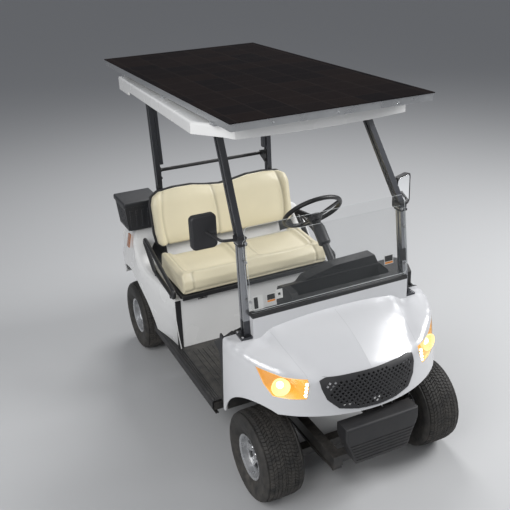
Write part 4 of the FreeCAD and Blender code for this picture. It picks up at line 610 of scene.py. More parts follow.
def tail_lens_finish():
    """Amber-brown tail lens with fine level ribs."""
    material, tree, shader = new_material("tail_lens")
    where = object_place(tree)
    ribs = add_node(tree, "ShaderNodeTexWave", {"Vector": where, "Scale": 90.0},
                    wave_type="BANDS", bands_direction="Z")
    color = mixed(tree, ribs.outputs["Fac"], (0.30, 0.085, 0.012), (0.48, 0.16, 0.03))
    bump = bumped(tree, ribs.outputs["Fac"], 0.5, 0.001)
    return finished(material, tree, shader, {
        "Base Color": color, "Roughness": 0.16, "Coat Weight": 0.6, "Coat Roughness": 0.04,
        "Normal": bump})


# Finishes, by the record's slot or by their own name
MATERIALS = {}

# Nodes that are shaded smooth, and the angle in degrees from which their edges stay crisp
SMOOTH_ANGLE = 28
SMOOTH_ANGLES = {"front_cowl": 5, "rear_body": 16}
SMOOTH_NODES = ("front_cowl", "front_bumper", "rear_body", "roof", "steering_wheel",
                "steering_column", "mirror_left", "mirror_right", "armrest_left",
                "armrest_right", "bag_rack", "rim_fl", "rim_fr", "rim_rl", "rim_rr",
                "headlamp_lens_left", "headlamp_lens_right", "headlamp_left",
                "headlamp_right", "rear_axle", "cooler_lid")


def make_materials(paint):
    """All finishes, by the record's slot or by their own name."""
    moulded = ("moulded_grain", {"Scale": 1100.0})
    coarse = ("moulded_grain", {"Scale": 620.0})
    drawn = ("drawn_grain", {"Stretch": (900.0, 900.0, 14.0)})
    along = ("drawn_grain", {"Stretch": (900.0, 14.0, 900.0)})
    dark = tuple(paint.plastic)
    # The cowl's white, partly painted shade, also paints the strip under the windscreen below a level
    hood = tuple(paint.hood)
    dust, glow = paint.dust, paint.lamp_glow
    grip = (0.02, 0.02, 0.021)
    MATERIALS.update({
        "white_panel": hard_finish(
            "white_panel", tuple(paint.panel), *moulded, depth=0.03, distance=0.0003,
            roughness=0.25, spread=0.05, coat=0.55, wear_and_highlight=0.12, bare=(0.6, 0.6, 0.58),
            dust=dust * 0.15, radius=0.003, vary=0.03),
        "pearl_panel": hood_finish(hood, dark),
        "dark_plastic": hard_finish(
            "dark_plastic", dark, *moulded, depth=0.10, distance=0.0003, roughness=0.5,
            wear_and_highlight=0.35, bare=(0.09, 0.09, 0.09), dust=dust * 0.45),
        "black_steel": hard_finish(
            "black_steel", grip, *moulded, depth=0.25, distance=0.0004, roughness=0.42,
            wear_and_highlight=0.6, bare=(0.22, 0.21, 0.2), dust=dust),
        "bare_steel": hard_finish(
            "bare_steel", (0.36, 0.36, 0.37), *drawn, depth=0.2, distance=0.0004,
            roughness=0.36, spread=0.1, metallic=0.95, wear_and_highlight=0.5, bare=(0.55, 0.55, 0.55),
            dust=dust),
        "graphite_strut": strut_finish(tuple(paint.strut), (0.40, 0.41, 0.43)),
        "floor_mat": hard_finish(
            "floor_mat", (0.028, 0.028, 0.028), *coarse, depth=0.6, distance=0.0008,
            roughness=0.62, wear_and_highlight=0.5, bare=(0.1, 0.1, 0.1), dust=dust),
        "cast_case": hard_finish(
            "cast_case", (0.15, 0.15, 0.155), *coarse, depth=0.7, distance=0.001,
            roughness=0.55, spread=0.1, metallic=0.6, wear_and_highlight=0.4, dust=dust),
        "battery_case": hard_finish(
            "battery_case", (0.05, 0.05, 0.055), *moulded, depth=0.3, distance=0.0005,
            roughness=0.45, wear_and_highlight=0.3, bare=(0.14, 0.14, 0.14), dust=0.1),
        "wheel_grip": hard_finish(
            "wheel_grip", grip, *coarse, depth=0.4, distance=0.0005, roughness=0.4,
            wear_and_highlight=0.3, bare=(0.07, 0.07, 0.07)),
        "rubber_strip": banded_strip((0.022, 0.022, 0.023), hood),
        "alu_frame": hard_finish(
            "alu_frame", (0.62, 0.63, 0.64), *along, depth=0.12, distance=0.0003,
            roughness=0.3, spread=0.06, metallic=0.85, wear_and_highlight=0.3, bare=(0.8, 0.8, 0.8),
            vary=0.05),
        "arm_grip": hard_finish(
            "arm_grip", grip, *moulded, depth=0.25, distance=0.0004, roughness=0.38,
            spread=0.07, wear_and_highlight=0.3, bare=(0.08, 0.08, 0.08)),
        # Light grey patchy edges on the cooler: a painted highlight along its edges, laid on as edge
        # wear
        "cooler_plastic": hard_finish(
            "cooler_plastic", (0.024, 0.025, 0.028), *coarse, depth=0.4, distance=0.0005,
            roughness=0.42, wear_and_highlight=0.8, bare=(0.26, 0.26, 0.27), dust=0.1),
        "tyre": hard_finish(
            "tyre_rubber", tuple(paint.rubber), *coarse, depth=0.5, distance=0.0007,
            roughness=0.66, wear_and_highlight=0.5, bare=(0.06, 0.058, 0.055), dust=dust),
        "silver_rim": hard_finish(
            "silver_rim", (0.55, 0.56, 0.575), *moulded, depth=0.06, distance=0.0003,
            roughness=0.26, spread=0.05, metallic=0.75, coat=0.5, wear_and_highlight=0.3,
            bare=(0.7, 0.7, 0.7), dust=dust, vary=0.05),
        "fastener": hard_finish(
            "fastener", (0.5, 0.5, 0.51), *moulded, depth=0.1, distance=0.0003,
            roughness=0.28, metallic=0.95, wear_and_highlight=0.5, bare=(0.75, 0.75, 0.75)),
        "cream_vinyl": vinyl_finish(tuple(paint.vinyl)),
        "clear_screen": clear_finish("clear_screen", (0.20, 0.215, 0.22), alpha=0.012,
                                     edge_alpha=0.2, roughness=0.03, rim=0.85),
        "clear_lens": clear_finish("clear_lens", (0.55, 0.42, 0.22), alpha=0.03,
                                   edge_alpha=0.3, roughness=0.03),
        "panel_glass": cell_finish(),
        "lamp_bowl": glow_finish("lamp_bowl", LAMP_GLOW_CENTRE, reach=0.17,
                                 strength=glow * 0.13),
        "lamp_glow": lit_finish("lamp_glow", (1.0, 0.72, 0.30), glow * 0.16),
        "label_white": printed_film("label_white", (0.72, 0.72, 0.70)),
        "label_dark": printed_film("label_dark", (0.03, 0.03, 0.03)),
        "label_orange": printed_film("label_orange", (0.80, 0.27, 0.02)),
        "lamp_core": lit_finish("lamp_core", (1.0, 0.86, 0.58), glow),
        "diode": lit_finish("diode", (1.0, 0.93, 0.8), glow * 0.7),
        "amber_lamp": tail_lens_finish(),
        "mirror_face": hard_finish(
            "mirror_face", (0.86, 0.87, 0.88), *moulded, depth=0.01, distance=0.0001,
            roughness=0.04, spread=0.01, metallic=1.0, wear_and_highlight=0.0, vary=0.01),
    })


# Mesh building

def new_object(name, data):
    """An object in the scene's own collection."""
    item = bpy.data.objects.new(name, data)
    bpy.context.scene.collection.objects.link(item)
    return item


def mesh_from(bm, name):
    """A mesh with what a bmesh holds; the bmesh is freed."""
    mesh = bpy.data.meshes.new(name)
    bm.to_mesh(mesh)
    bm.free()
    return mesh


def node_slots():
    """Material slot of every CAD node."""
    return {row["node"]: row["material_slot"] for row in frame["record"]["subparts"]}


def piece_from(bm, name, body, slot=None, material=None, smooth=True):
    """Turn a bmesh into a piece that rides on a CAD body."""
    bmesh.ops.remove_doubles(bm, verts=bm.verts, dist=1e-6)
    bmesh.ops.recalc_face_normals(bm, faces=bm.faces)
    for face in bm.faces:
        face.smooth = smooth
    piece = new_object(name, mesh_from(bm, name))
    piece.data.materials.append(MATERIALS[material or slot])
    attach(piece, body)
    return piece


def edge_split(piece, degrees):
    """Mark edges sharper than an angle, so that smooth shading keeps them crisp."""
    bm = bmesh.new()
    bm.from_mesh(piece.data)
    for edge in bm.edges:
        if len(edge.link_faces) == 2 and edge.calc_face_angle(0) > math.radians(degrees):
            edge.smooth = False
    bm.to_mesh(piece.data)
    bm.free()


def add_box(bm, place, size):
    """Box of a size at a place, and what bmesh made for it."""
    return bmesh.ops.create_cube(bm, size=1, matrix=place @ Matrix.Diagonal((*size, 1)))


def look_along(axis, centre):
    """Matrix that turns +Z onto an axis and moves to a centre."""
    turn = Vector(axis).to_track_quat("Z", "Y").to_matrix().to_4x4()
    return Matrix.Translation(Vector(centre)) @ turn


def add_bolt(bm, centre, axis, radius=0.006, high=0.005, washer=0.0012):
    """Hexagon head on a washer, its seat at the centre point."""
    place = look_along(axis, centre)
    bmesh.ops.create_cone(bm, cap_ends=True, segments=18, radius1=radius * 1.45,
                          radius2=radius * 1.4, depth=washer,
                          matrix=place @ Matrix.Translation((0, 0, washer / 2)))
    head = bmesh.ops.create_cone(bm, cap_ends=True, segments=6, radius1=radius, radius2=radius,
                                 depth=high,
                                 matrix=place @ Matrix.Translation((0, 0, washer + high / 2)))
    top = max((face for vert in head["verts"] for face in vert.link_faces
               if len(face.verts) == 6), key=lambda face: (face.calc_center_median() -
                                                           Vector(centre)).length)
    bmesh.ops.inset_individual(bm, faces=[top], thickness=radius * 0.16, depth=radius * 0.1)


def evaluated(shell):
    """The shell's mesh under its modifiers, which are then taken off."""
    graph = bpy.context.evaluated_depsgraph_get()
    mesh = bpy.data.meshes.new_from_object(shell.evaluated_get(graph))
    shell.modifiers.clear()
    return mesh


def remeshed(source, voxel):
    """A closed even mesh in the shape of a CAD node."""
    bm = bmesh.new()
    bm.from_mesh(source.data)
    bmesh.ops.remove_doubles(bm, verts=bm.verts, dist=1e-6)
    shell = new_object("padding", mesh_from(bm, "padding"))
    remesh = shell.modifiers.new("even", "REMESH")
    remesh.mode = "VOXEL"
    remesh.voxel_size = voxel
    shell.data = evaluated(shell)
    return shell


def points_of(mesh):
    """The vertices' places as an array."""
    points = np.zeros(len(mesh.vertices) * 3, np.float32)
    mesh.vertices.foreach_get("co", points)
    return points.reshape(-1, 3).astype(float)


def normals_of(mesh):
    """The vertices' normals as an array."""
    normals = np.zeros(len(mesh.vertices) * 3, np.float32)
    mesh.vertex_normals.foreach_get("vector", normals)
    return normals.reshape(-1, 3).astype(float)


def set_points(mesh, points):
    """Move the vertices to the places in an array."""
    mesh.vertices.foreach_set("co", points.astype(np.float32).ravel())
    mesh.update()


def ease(value):
    """Smooth step from 0 to 1, for arrays."""
    value = np.clip(value, 0, 1)
    return value * value * (3 - 2 * value)


def distance_to(line, across, up):
    """Distance in a plane from every point to a broken line."""
    best = np.full(len(across), 1e9)
    for (x0, y0), (x1, y1) in zip(line, line[1:]):
        span = (x1 - x0) ** 2 + (y1 - y0) ** 2
        share = np.clip(((across - x0) * (x1 - x0) + (up - y0) * (y1 - y0)) / span, 0, 1)
        best = np.minimum(best, np.hypot(across - x0 - share * (x1 - x0),
                                         up - y0 - share * (y1 - y0)))
    return best


def curved(line, steps=10):
    """Points of a smooth line through the given corners."""
    rows = [line[0]] + list(line) + [line[-1]]
    points = []
    for p0, p1, p2, p3 in zip(rows, rows[1:], rows[2:], rows[3:]):
        for step in range(steps):
            t = step / steps
            points.append(tuple(
                0.5 * (2 * b + (c - a) * t + (2 * a - 5 * b + 4 * c - d) * t * t +
                       (3 * b - a - 3 * c + d) * t ** 3)
                for a, b, c, d in zip(p0, p1, p2, p3)))
    return points + [line[-1]]


def stitched(line, across, up, width):
    """Depth of a seam at every point: 1 on a curved line, fading over a width."""
    return np.exp(-(distance_to(curved(line), across, up) / width) ** 2)


def inflate(shell, seat, held):
    """Swell a padded shell with the Cloth simulation; held vertices stay."""
    last_frame = 20
    start = points_of(shell.data)
    group = shell.vertex_groups.new(name="held")
    group.add([int(index) for index in np.nonzero(held)[0]], 1.0, "REPLACE")
    cloth = shell.modifiers.new("swell", "CLOTH")
    cloth.settings.quality = 4
    cloth.settings.use_pressure = True
    cloth.settings.uniform_pressure_force = seat.pressure
    cloth.settings.vertex_group_mass = "held"
    cloth.settings.effector_weights.gravity = 0
    cloth.collision_settings.use_collision = False
    cloth.point_cache.frame_start = 1
    cloth.point_cache.frame_end = last_frame
    for number in range(1, last_frame + 1):
        bpy.context.scene.frame_set(number)
    moved = points_of(evaluated(shell)) - start
    long = np.linalg.norm(moved, axis=1, keepdims=True)
    moved *= np.minimum(1, seat.swell / np.maximum(long, 1e-9))
    set_points(shell.data, start + moved)
    bpy.context.scene.frame_set(1)


def subdivided(shell):
    """The shell's mesh with one smooth subdivision."""
    modifier = shell.modifiers.new("fine", "SUBSURF")
    modifier.levels = 1
    modifier.render_levels = 1
    return evaluated(shell)


def padded_piece(name, node, body, seat, sculpt, seams, held_where):
    """Padded cover: remeshed solid, sculpted, smoothed, inflated and sewn."""
    shell = remeshed(frame["nodes"][node], seat.voxel)
    points = points_of(shell.data) - normals_of(shell.data) * seat.tuck
    points = sculpt(points)
    set_points(shell.data, points)
    bm = bmesh.new()
    bm.from_mesh(shell.data)
    for _ in range(3):
        bmesh.ops.smooth_vert(bm, verts=bm.verts, factor=0.5, use_axis_x=True, use_axis_y=True,
                              use_axis_z=True)
    bm.to_mesh(shell.data)
    bm.free()
    inflate(shell, seat, held_where(points_of(shell.data)))
    mesh = subdivided(shell)
    bpy.data.objects.remove(shell)
    points = points_of(mesh)
    depth = np.zeros(len(points))
    for press in seams(points):
        depth = np.maximum(depth, press)
    set_points(mesh, points - normals_of(mesh) * (depth * seat.seam_depth)[:, None])
    mark = mesh.attributes.new("seam", "FLOAT", "POINT")
    mark.data.foreach_set("value", depth.astype(np.float32))
    mesh.shade_smooth()
    mesh.materials.append(MATERIALS["cream_vinyl"])
    piece = new_object(name, mesh)
    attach(piece, body)
    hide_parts(node)


class CART_OT_finishes(bpy.types.Operator):
    """Give every CAD node its finish"""
    bl_idname = "cart.finishes"
    bl_label = "Finishes"

    def execute(self, context):
        make_materials(context.scene.cart_paint)
        slots = node_slots()
        for name, node in frame["nodes"].items():
            node.data.materials.clear()
            node.data.materials.append(MATERIALS[slots[name]])
        return {"FINISHED"}


class CART_OT_seat_cushion(bpy.types.Operator):
    """Model the seat cushion with two scooped places and a front roll"""
    bl_idname = "cart.seat_cushion"
    bl_label = "Seat cushion"

    def execute(self, context):
        seat = context.scene.cart_seat
        low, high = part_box("seat_cushion")
        front, rear = low.y, high.y

        def place_share(points):
            """How far each point lies in one of the two scooped places."""
            across = np.abs(np.abs(points[:, 0]) - SEAT_PLACE_ACROSS)
            inside = 1 - ease((across - 0.145) / 0.05)
            behind = ease((points[:, 1] - front - 0.075) / 0.05)
            return inside * behind

        def sculpt(points):
            """Scoop the places, raise the sides and roll the front edge."""
            upper = ease((points[:, 2] - low.z - 0.045) / 0.05)
            hollow = place_share(points)
            side = ease((np.abs(points[:, 0]) - 0.40) / 0.05)
            roll = 1 - ease((points[:, 1] - front - 0.05) / 0.1)
            points[:, 2] += upper * (-0.020 * hollow + 0.004 * side + 0.006 * roll)
            nose = ease((points[:, 2] - low.z - 0.02) / 0.07) * roll
            points[:, 1] += 0.006 * nose * np.cos(points[:, 0] / 0.23 * math.pi)
            return points

        def seams(points):
            """Depth of the seams: round each place, then down each front corner."""
            above = ease((points[:, 2] - low.z - 0.05) / 0.02)
            for side in (-1, 1):
                line = [(side * 0.052, rear + 0.01), (side * 0.056, front + 0.16),
                        (side * 0.085, front + 0.095), (side * 0.16, front + 0.076),
                        (side * 0.30, front + 0.076), (side * 0.385, front + 0.09),
                        (side * 0.424, front + 0.15), (side * 0.428, rear + 0.01)]
                yield above * stitched(line, points[:, 0], points[:, 1], seat.seam_width)
            above = ease((points[:, 2] - low.z - 0.012) / 0.02)
            for side in (-1, 1):
                line = [(side * 0.385, front + 0.09), (side * 0.40, front + 0.045),
                        (side * 0.405, front - 0.02)]
                yield above * stitched(line, points[:, 0], points[:, 1], seat.seam_width)

        def held(points):
            """Points at the base, which don't swell."""
            return points[:, 2] < low.z + 0.014

        padded_piece("seat_cushion_cover", "seat_cushion", "seat", seat, sculpt, seams, held)
        return {"FINISHED"}


class CART_OT_seat_back(bpy.types.Operator):
    """Model the seat back with two crowned places between raised bolsters"""
    bl_idname = "cart.seat_back"
    bl_label = "Seat back"

    def execute(self, context):
        seat = context.scene.cart_seat
        lean = math.radians(SEAT_BACK_LEAN_DEGREES)
        base = Vector(SEAT_BACK_BASE)
        ahead = np.array([0, -math.cos(lean), math.sin(lean)])

        def local(points):
            """Depth behind the base line, and height along the lean of the back."""
            y, z = points[:, 1] - base.y, points[:, 2] - base.z
            return (y * math.cos(lean) - z * math.sin(lean),
                    y * math.sin(lean) + z * math.cos(lean))

        def sculpt(points):
            """Raise the bolsters, sink and crown the places between them, and round the top."""
            deep, up = local(points)
            facing = 1 - ease((deep - 0.008) / 0.045)
            across = np.abs(points[:, 0])
            bolster = ease((across - 0.385) / 0.055)
            spine = 1 - ease((across - 0.030) / 0.055)
            crown = np.clip(1 - ((across - 0.225) / 0.19) ** 2, 0, 1)
            lumbar = np.exp(-((up - 0.10) / 0.11) ** 2)
            raised = 0.002 * bolster - 0.004 * spine - 0.017 * (1 - np.maximum(bolster, spine))
            raised += 0.010 * crown + 0.006 * lumbar * crown
            rounding = ease((up - 0.26) / 0.12)
            raised -= 0.012 * rounding
            return points + ahead * (facing * raised)[:, None]

        def seams(points):
            """Depth of the seams beside the spine and along the bolsters."""
            deep, up = local(points)
            facing = 1 - ease((deep - 0.035) / 0.02)
            for side in (-1, 1):
                for line in (
                        [(side * 0.060, -0.02), (side * 0.054, 0.14), (side * 0.066, 0.30),
                         (side * 0.085, 0.40)],
                        [(side * 0.392, -0.02), (side * 0.410, 0.10), (side * 0.408, 0.22),
                         (side * 0.378, 0.38)]):
                    yield facing * stitched(line, points[:, 0], up, seat.seam_width)

        def held(points):
            """Points next to the shell, which don't swell."""
            return local(points)[0] > SEAT_BACK_HELD_DEPTH

        padded_piece("seat_back_cover", "seat_back_cushion", "chassis", seat, sculpt, seams,
                     held)
        return {"FINISHED"}


def radius_of(point):
    """Distance of a point from the wheel's axis."""
    return math.hypot(point.y, point.z)


class CART_OT_tyres(bpy.types.Operator):
    """Spin the four tyres and raise their tread blocks"""
    bl_idname = "cart.tyres"
    bl_label = "Tyres"

    def execute(self, context):
        wheels = context.scene.cart_wheels
        step = 2 * math.pi / wheels.blocks
        for corner, body, _ in WHEELS:
            low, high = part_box("tyre_" + corner)
            centre = (low + high) / 2
            bm = bmesh.new()
            crown = TYRE_RADIUS - wheels.tread
            half = TYRE_HALF_WIDTH
            bead = BEAD_RADIUS
            tread_half, row_pitch = 0.081, 0.019
            tread = [(tread_half, crown - 0.0060), (0.062, crown - 0.0012), (0.043, crown - 0.0004),
                     (0.024, crown), (0.005, crown)]
            side = [(0.084, bead), (0.086, 0.114), (0.0885, 0.116), (0.0975, 0.136),
                    (0.1005, 0.140), (0.1045, 0.152), (0.1075, 0.166), (half, 0.180),
                    (0.1065, 0.192), (0.1072, 0.194), (0.1062, 0.197), (0.1035, 0.205),
                    (0.098, 0.213), (0.0905, 0.2195)]
            outside = side + tread
            profile = outside + [(-x, r) for x, r in reversed(outside)]
            inside = [(half - 0.033, bead), (half - 0.031, 0.120), (half - 0.017, 0.142),
                      (half - 0.010, 0.168), (half - 0.013, 0.198), (half - 0.052, 0.214)]
            profile += [(-x, r) for x, r in inside] + list(reversed(inside))
            verts = [bm.verts.new((x, 0, r)) for x, r in profile]
            edges = [bm.edges.new((a, b)) for a, b in zip(verts, verts[1:] + verts[:1])]
            bmesh.ops.spin(bm, geom=verts + edges, axis=(1, 0, 0), cent=(0, 0, 0),
                           angle=2 * math.pi, steps=wheels.blocks, use_merge=True)
            bmesh.ops.remove_doubles(bm, verts=bm.verts, dist=1e-6)
            bmesh.ops.recalc_face_normals(bm, faces=bm.faces)
            for vert in bm.verts:
                if radius_of(vert.co) > crown - 0.0075:
                    shear = step * 1.3 * abs(vert.co.x) / tread_half
                    zigzag = step * 0.5 * (round(abs(vert.co.x) / row_pitch) % 2)
                    vert.co = Matrix.Rotation(shear + zigzag, 3, "X") @ vert.co
            blocks = [face for face in bm.faces
                      if radius_of(face.calc_center_median()) > crown - 0.0055
                      and abs(face.calc_center_median().x) < 0.0815]
            bmesh.ops.inset_individual(bm, faces=blocks, thickness=wheels.gap,
                                       depth=wheels.tread, use_even_offset=True)
            bmesh.ops.translate(bm, verts=bm.verts, vec=centre)
            tyre = piece_from(bm, "tyre_tread_" + corner, body, "tyre")
            tyre.data.shade_smooth()
            edge_split(tyre, 38)
            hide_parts("tyre_" + corner)
        return {"FINISHED"}


class CART_OT_wheel_nuts(bpy.types.Operator):
    """Set the nuts and the cap on each wheel"""
    bl_idname = "cart.wheel_nuts"
    bl_label = "Wheel nuts"

    def execute(self, context):
        count = context.scene.cart_wheels.nuts
        for corner, body, way in WHEELS:
            low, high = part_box("rim_" + corner)
            centre = (low + high) / 2
            bm = bmesh.new()
            face = RIM_HALF_WIDTH - RIM_FACE_DEPTH
            for number in range(count):
                turn = 2 * math.pi * number / count
                spot = centre + Vector((way * (face - 0.0125),
                                        NUT_CIRCLE_RADIUS * math.sin(turn),
                                        NUT_CIRCLE_RADIUS * math.cos(turn)))
                add_bolt(bm, spot, (way, 0, 0), 0.0085, 0.011, 0.002)
            bmesh.ops.create_cone(bm, cap_ends=True, segments=40, radius1=0.026, radius2=0.020,
                                  depth=0.012,
                                  matrix=look_along((way, 0, 0), centre + Vector(
                                      (way * (face + 0.001), 0, 0))))
            nuts = piece_from(bm, "wheel_nuts_" + corner, body, material="fastener")
            edge_split(nuts, 30)
        return {"FINISHED"}


class CART_OT_headlamps(bpy.types.Operator):
    """Fit reflector, bulb and diode row behind each headlamp lens"""
    bl_idname = "cart.headlamps"
    bl_label = "Headlamps"

    def execute(self, context):
        for side, name in ((1, "left"), (-1, "right")):
            axis = Vector((side * 0.28, -1, 0.05)).normalized()
            across, along, height = LAMP_CENTRE
            centre = Vector((side * across, along, height))
            place = look_along(axis, centre)
            bm = bmesh.new()
            ring = [(0.010, -0.030), (0.022, -0.024), (0.034, -0.010), (0.041, 0.010),
                    (0.0425, 0.014), (0.0445, 0.014), (0.0445, 0.010), (0.036, -0.014),
                    (0.023, -0.029), (0.010, -0.034)]
            verts = [bm.verts.new((radius, 0, up)) for radius, up in ring]
            edges = [bm.edges.new((a, b)) for a, b in zip(verts, verts[1:] + verts[:1])]
            bmesh.ops.spin(bm, geom=verts + edges, axis=(0, 0, 1), cent=(0, 0, 0),
                           angle=2 * math.pi, steps=40, use_merge=True)
            bmesh.ops.transform(bm, matrix=place, verts=bm.verts)
            piece_from(bm, "lamp_reflector_" + name, "chassis", material="lamp_glow")
            bm = bmesh.new()
            bmesh.ops.create_uvsphere(bm, u_segments=24, v_segments=14, radius=0.017,
                                      matrix=place @ Matrix.Translation((0, 0, -0.012)))
            piece_from(bm, "lamp_bulb_" + name, "chassis", material="lamp_core")
            bm = bmesh.new()
            across, along, height = LOWEST_DIODE
            for number in range(4):
                up = height + 0.0185 * number
                spot = Vector((side * (across - 0.003 * number), along, up))
                bmesh.ops.create_cone(bm, cap_ends=True, segments=18, radius1=0.0068,
                                      radius2=0.0055, depth=0.008,
                                      matrix=look_along((side * 0.2, -1, 0), spot))
            piece_from(bm, "lamp_diodes_" + name, "chassis", material="diode")
        return {"FINISHED"}


class CART_OT_fasteners(bpy.types.Operator):
    """Set the bolts at the feet of the struts"""
    bl_idname = "cart.fasteners"
    bl_label = "Fasteners"

    def execute(self, context):
        bm = bmesh.new()
        for side in (-1, 1):
            for (x, y, z), half_wide, half_long, size in (
                    (FRONT_STRUT_FOOT, 0.030, 0.030, (0.005, 0.004)),
                    (REAR_STRUT_FOOT, 0.026, 0.022, (0.006, 0.005))):
                for across in (-half_wide, half_wide):
                    for along in (-half_long, half_long):
                        add_bolt(bm, (side * x + across, y + along, z), (0, 0, 1), *size)
        bolts = piece_from(bm, "body_bolts", "chassis", material="fastener")
        edge_split(bolts, 30)
        return {"FINISHED"}


# Across and height of each windscreen knob
KNOBS = ((-0.435, 1.173), (0.435, 1.173), (-0.387, 0.912), (0.387, 0.912),
         (0.431, 0.979), (-0.431, 0.979), (-0.425, 1.262), (0.425, 1.262))

# The two steps of a knob: radius, depth and how far its middle stands out
KNOB_STEPS = ((0.0075, 0.006, 0.003), (0.0052, 0.004, 0.008))

# Plates of the bare labels on the lower pane: their piece, its finish, and for each plate
# across, height, its width and height, and its gap to the pane
LABELS = (
    ("label_borders", "label_white",
     ((-0.325, 0.976, 0.046, 0.042, 0.0), (-0.281, 0.985, 0.036, 0.046, 0.0),
      (-0.393, 0.968, 0.052, 0.070, 0.0), (0.337, 1.019, 0.052, 0.048, 0.0))),
    ("label_fields", "label_dark",
     ((-0.325, 0.981, 0.040, 0.026, 0.0008), (-0.281, 0.985, 0.012, 0.012, 0.0008),
      (-0.404, 0.968, 0.020, 0.056, 0.0008), (0.337, 1.025, 0.045, 0.029, 0.0008),
      (0.424, 1.026, 0.038, 0.064, 0.0004))),
    ("label_bands", "label_orange",
     ((-0.325, 0.962, 0.040, 0.008, 0.0008), (0.337, 1.003, 0.045, 0.009, 0.0008))))


def pane_y(height):
    """Front face of the lower windscreen pane at a height."""
    back, high = PANE_SLOPE
    return PANE_FOOT_ALONG + (height - PANE_FOOT_HEIGHT) * back / high


def pane_plate(bm, across, height, wide, high, out, deep=0.0006):
    """Thin plate that lies on the lower pane."""
    lean = math.atan2(*PANE_SLOPE)
    place = (Matrix.Translation((across, pane_y(height) - out - deep / 2, height)) @
             Matrix.Rotation(-lean, 4, "X"))
    add_box(bm, place, (wide, deep, high))


class CART_OT_screen_fittings(bpy.types.Operator):
    """Set knobs, clamps and bare labels at the windscreen"""
    bl_idname = "cart.screen_fittings"
    bl_label = "Screen fittings"

    def execute(self, context):
        bm = bmesh.new()
        for across, height in KNOBS:
            for radius, deep, out in KNOB_STEPS:
                spot = (across, pane_y(height) - out, height)
                bmesh.ops.create_cone(
                    bm, cap_ends=True, segments=28, radius1=radius, radius2=radius * 0.86,
                    depth=deep, matrix=look_along((0, -1, 0), spot))
        knobs = piece_from(bm, "screen_knobs", "chassis", material="fastener")
        edge_split(knobs, 30)
        bm = bmesh.new()
        across, along = STRUT_CLAMP
        for side in (-1, 1):
            for height in (1.252, 1.286):
                made = add_box(bm, Matrix.Translation((side * across, along, height)),
                               (0.044, 0.058, 0.012))
                rims = {edge for vert in made["verts"] for edge in vert.link_edges}
                bmesh.ops.bevel(bm, geom=list(rims), offset=0.003, segments=2, affect="EDGES")
        clamps = piece_from(bm, "strut_clamps", "chassis", "dark_plastic")
        edge_split(clamps, 40)
        for name, slot, plates in LABELS:
            bm = bmesh.new()
            for plate in plates:
                pane_plate(bm, *plate)
            piece_from(bm, name, "chassis", material=slot, smooth=False)
        return {"FINISHED"}


class CART_OT_body_trim(bpy.types.Operator):
    """Fit the dark corner strips and the hinge plates below the seat"""
    bl_idname = "cart.body_trim"
    bl_label = "Body trim"

    def execute(self, context):
        lean = math.atan2(*CORNER_STRIP_SLOPE)
        bm = bmesh.new()
        across, along, height = CORNER_STRIP
        for side in (-1, 1):
            place = (Matrix.Translation((side * across, along, height)) @
                     Matrix.Rotation(lean, 4, "X"))
            made = add_box(bm, place, (0.034, 0.005, 0.318))
            posts = [edge for vert in made["verts"] for edge in vert.link_edges
                     if abs(edge.verts[0].co.z - edge.verts[1].co.z) > 0.1]
            bmesh.ops.bevel(bm, geom=list(set(posts)), offset=0.002, segments=2, affect="EDGES")
        strips = piece_from(bm, "corner_strips", "chassis", "dark_plastic")
        edge_split(strips, 40)
        bm = bmesh.new()
        across, along, height = SEAT_HINGE
        leaf_wide, pin_radius = 0.058, 0.0045
        for side in (-1, 1):
            add_box(bm, Matrix.Translation((side * across, along, height)),
                    (leaf_wide, 0.004, 0.020))
            for offset in (-0.018, 0.018):
                add_bolt(bm, (side * across + offset, 0.1547, height), (0, -1, 0), 0.004, 0.003)
            bmesh.ops.create_cone(bm, cap_ends=True, segments=20, radius1=pin_radius,
                                  radius2=pin_radius, depth=leaf_wide,
                                  matrix=look_along((1, 0, 0), (side * across, 0.1540, 0.6105)))
        hinges = piece_from(bm, "seat_hinges", "chassis", material="fastener")
        edge_split(hinges, 30)
        return {"FINISHED"}


class CART_OT_grille_shade(bpy.types.Operator):
    """Hang a dark curved sheet behind the grille: painted shade inside the cowl"""
    bl_idname = "cart.grille_backing"
    bl_label = "Grille shade"

    def execute(self, context):
        steps, step_degrees = 14, 2.1
        radii, levels = (0.512, 0.516), (0.524, 0.690)
        centre_y, flattening = -0.660, 0.100
        bm = bmesh.new()
        rows = []
        for step in range(-steps, steps + 1):
            turn = math.radians(step * step_degrees)
            for radius in radii:
                spot = (radius * math.sin(turn), centre_y - (radius - flattening) * math.cos(turn))
                rows.append([bm.verts.new((*spot, level)) for level in levels])
        for first, second in zip(rows[::2], rows[2::2]):
            bm.faces.new((first[0], second[0], second[1], first[1]))
        for first, second in zip(rows[1::2], rows[3::2]):
            bm.faces.new((first[1], second[1], second[0], first[0]))
        for inner, outer in zip(rows[::2], rows[1::2]):
            if inner is rows[0] or inner is rows[-2]:
                bm.faces.new((inner[0], inner[1], outer[1], outer[0]))
        for level in (0, 1):
            for number in range(0, len(rows) - 2, 2):
                corners = (rows[number][level], rows[number + 1][level],
                           rows[number + 3][level], rows[number + 2][level])
                bm.faces.new(corners)
        # The dark sheet stands for the shade behind the grille's holes: painted shade
        shade_sheet = piece_from(bm, "grille_shade_sheet", "chassis", "dark_plastic")
        edge_split(shade_sheet, 40)
        return {"FINISHED"}


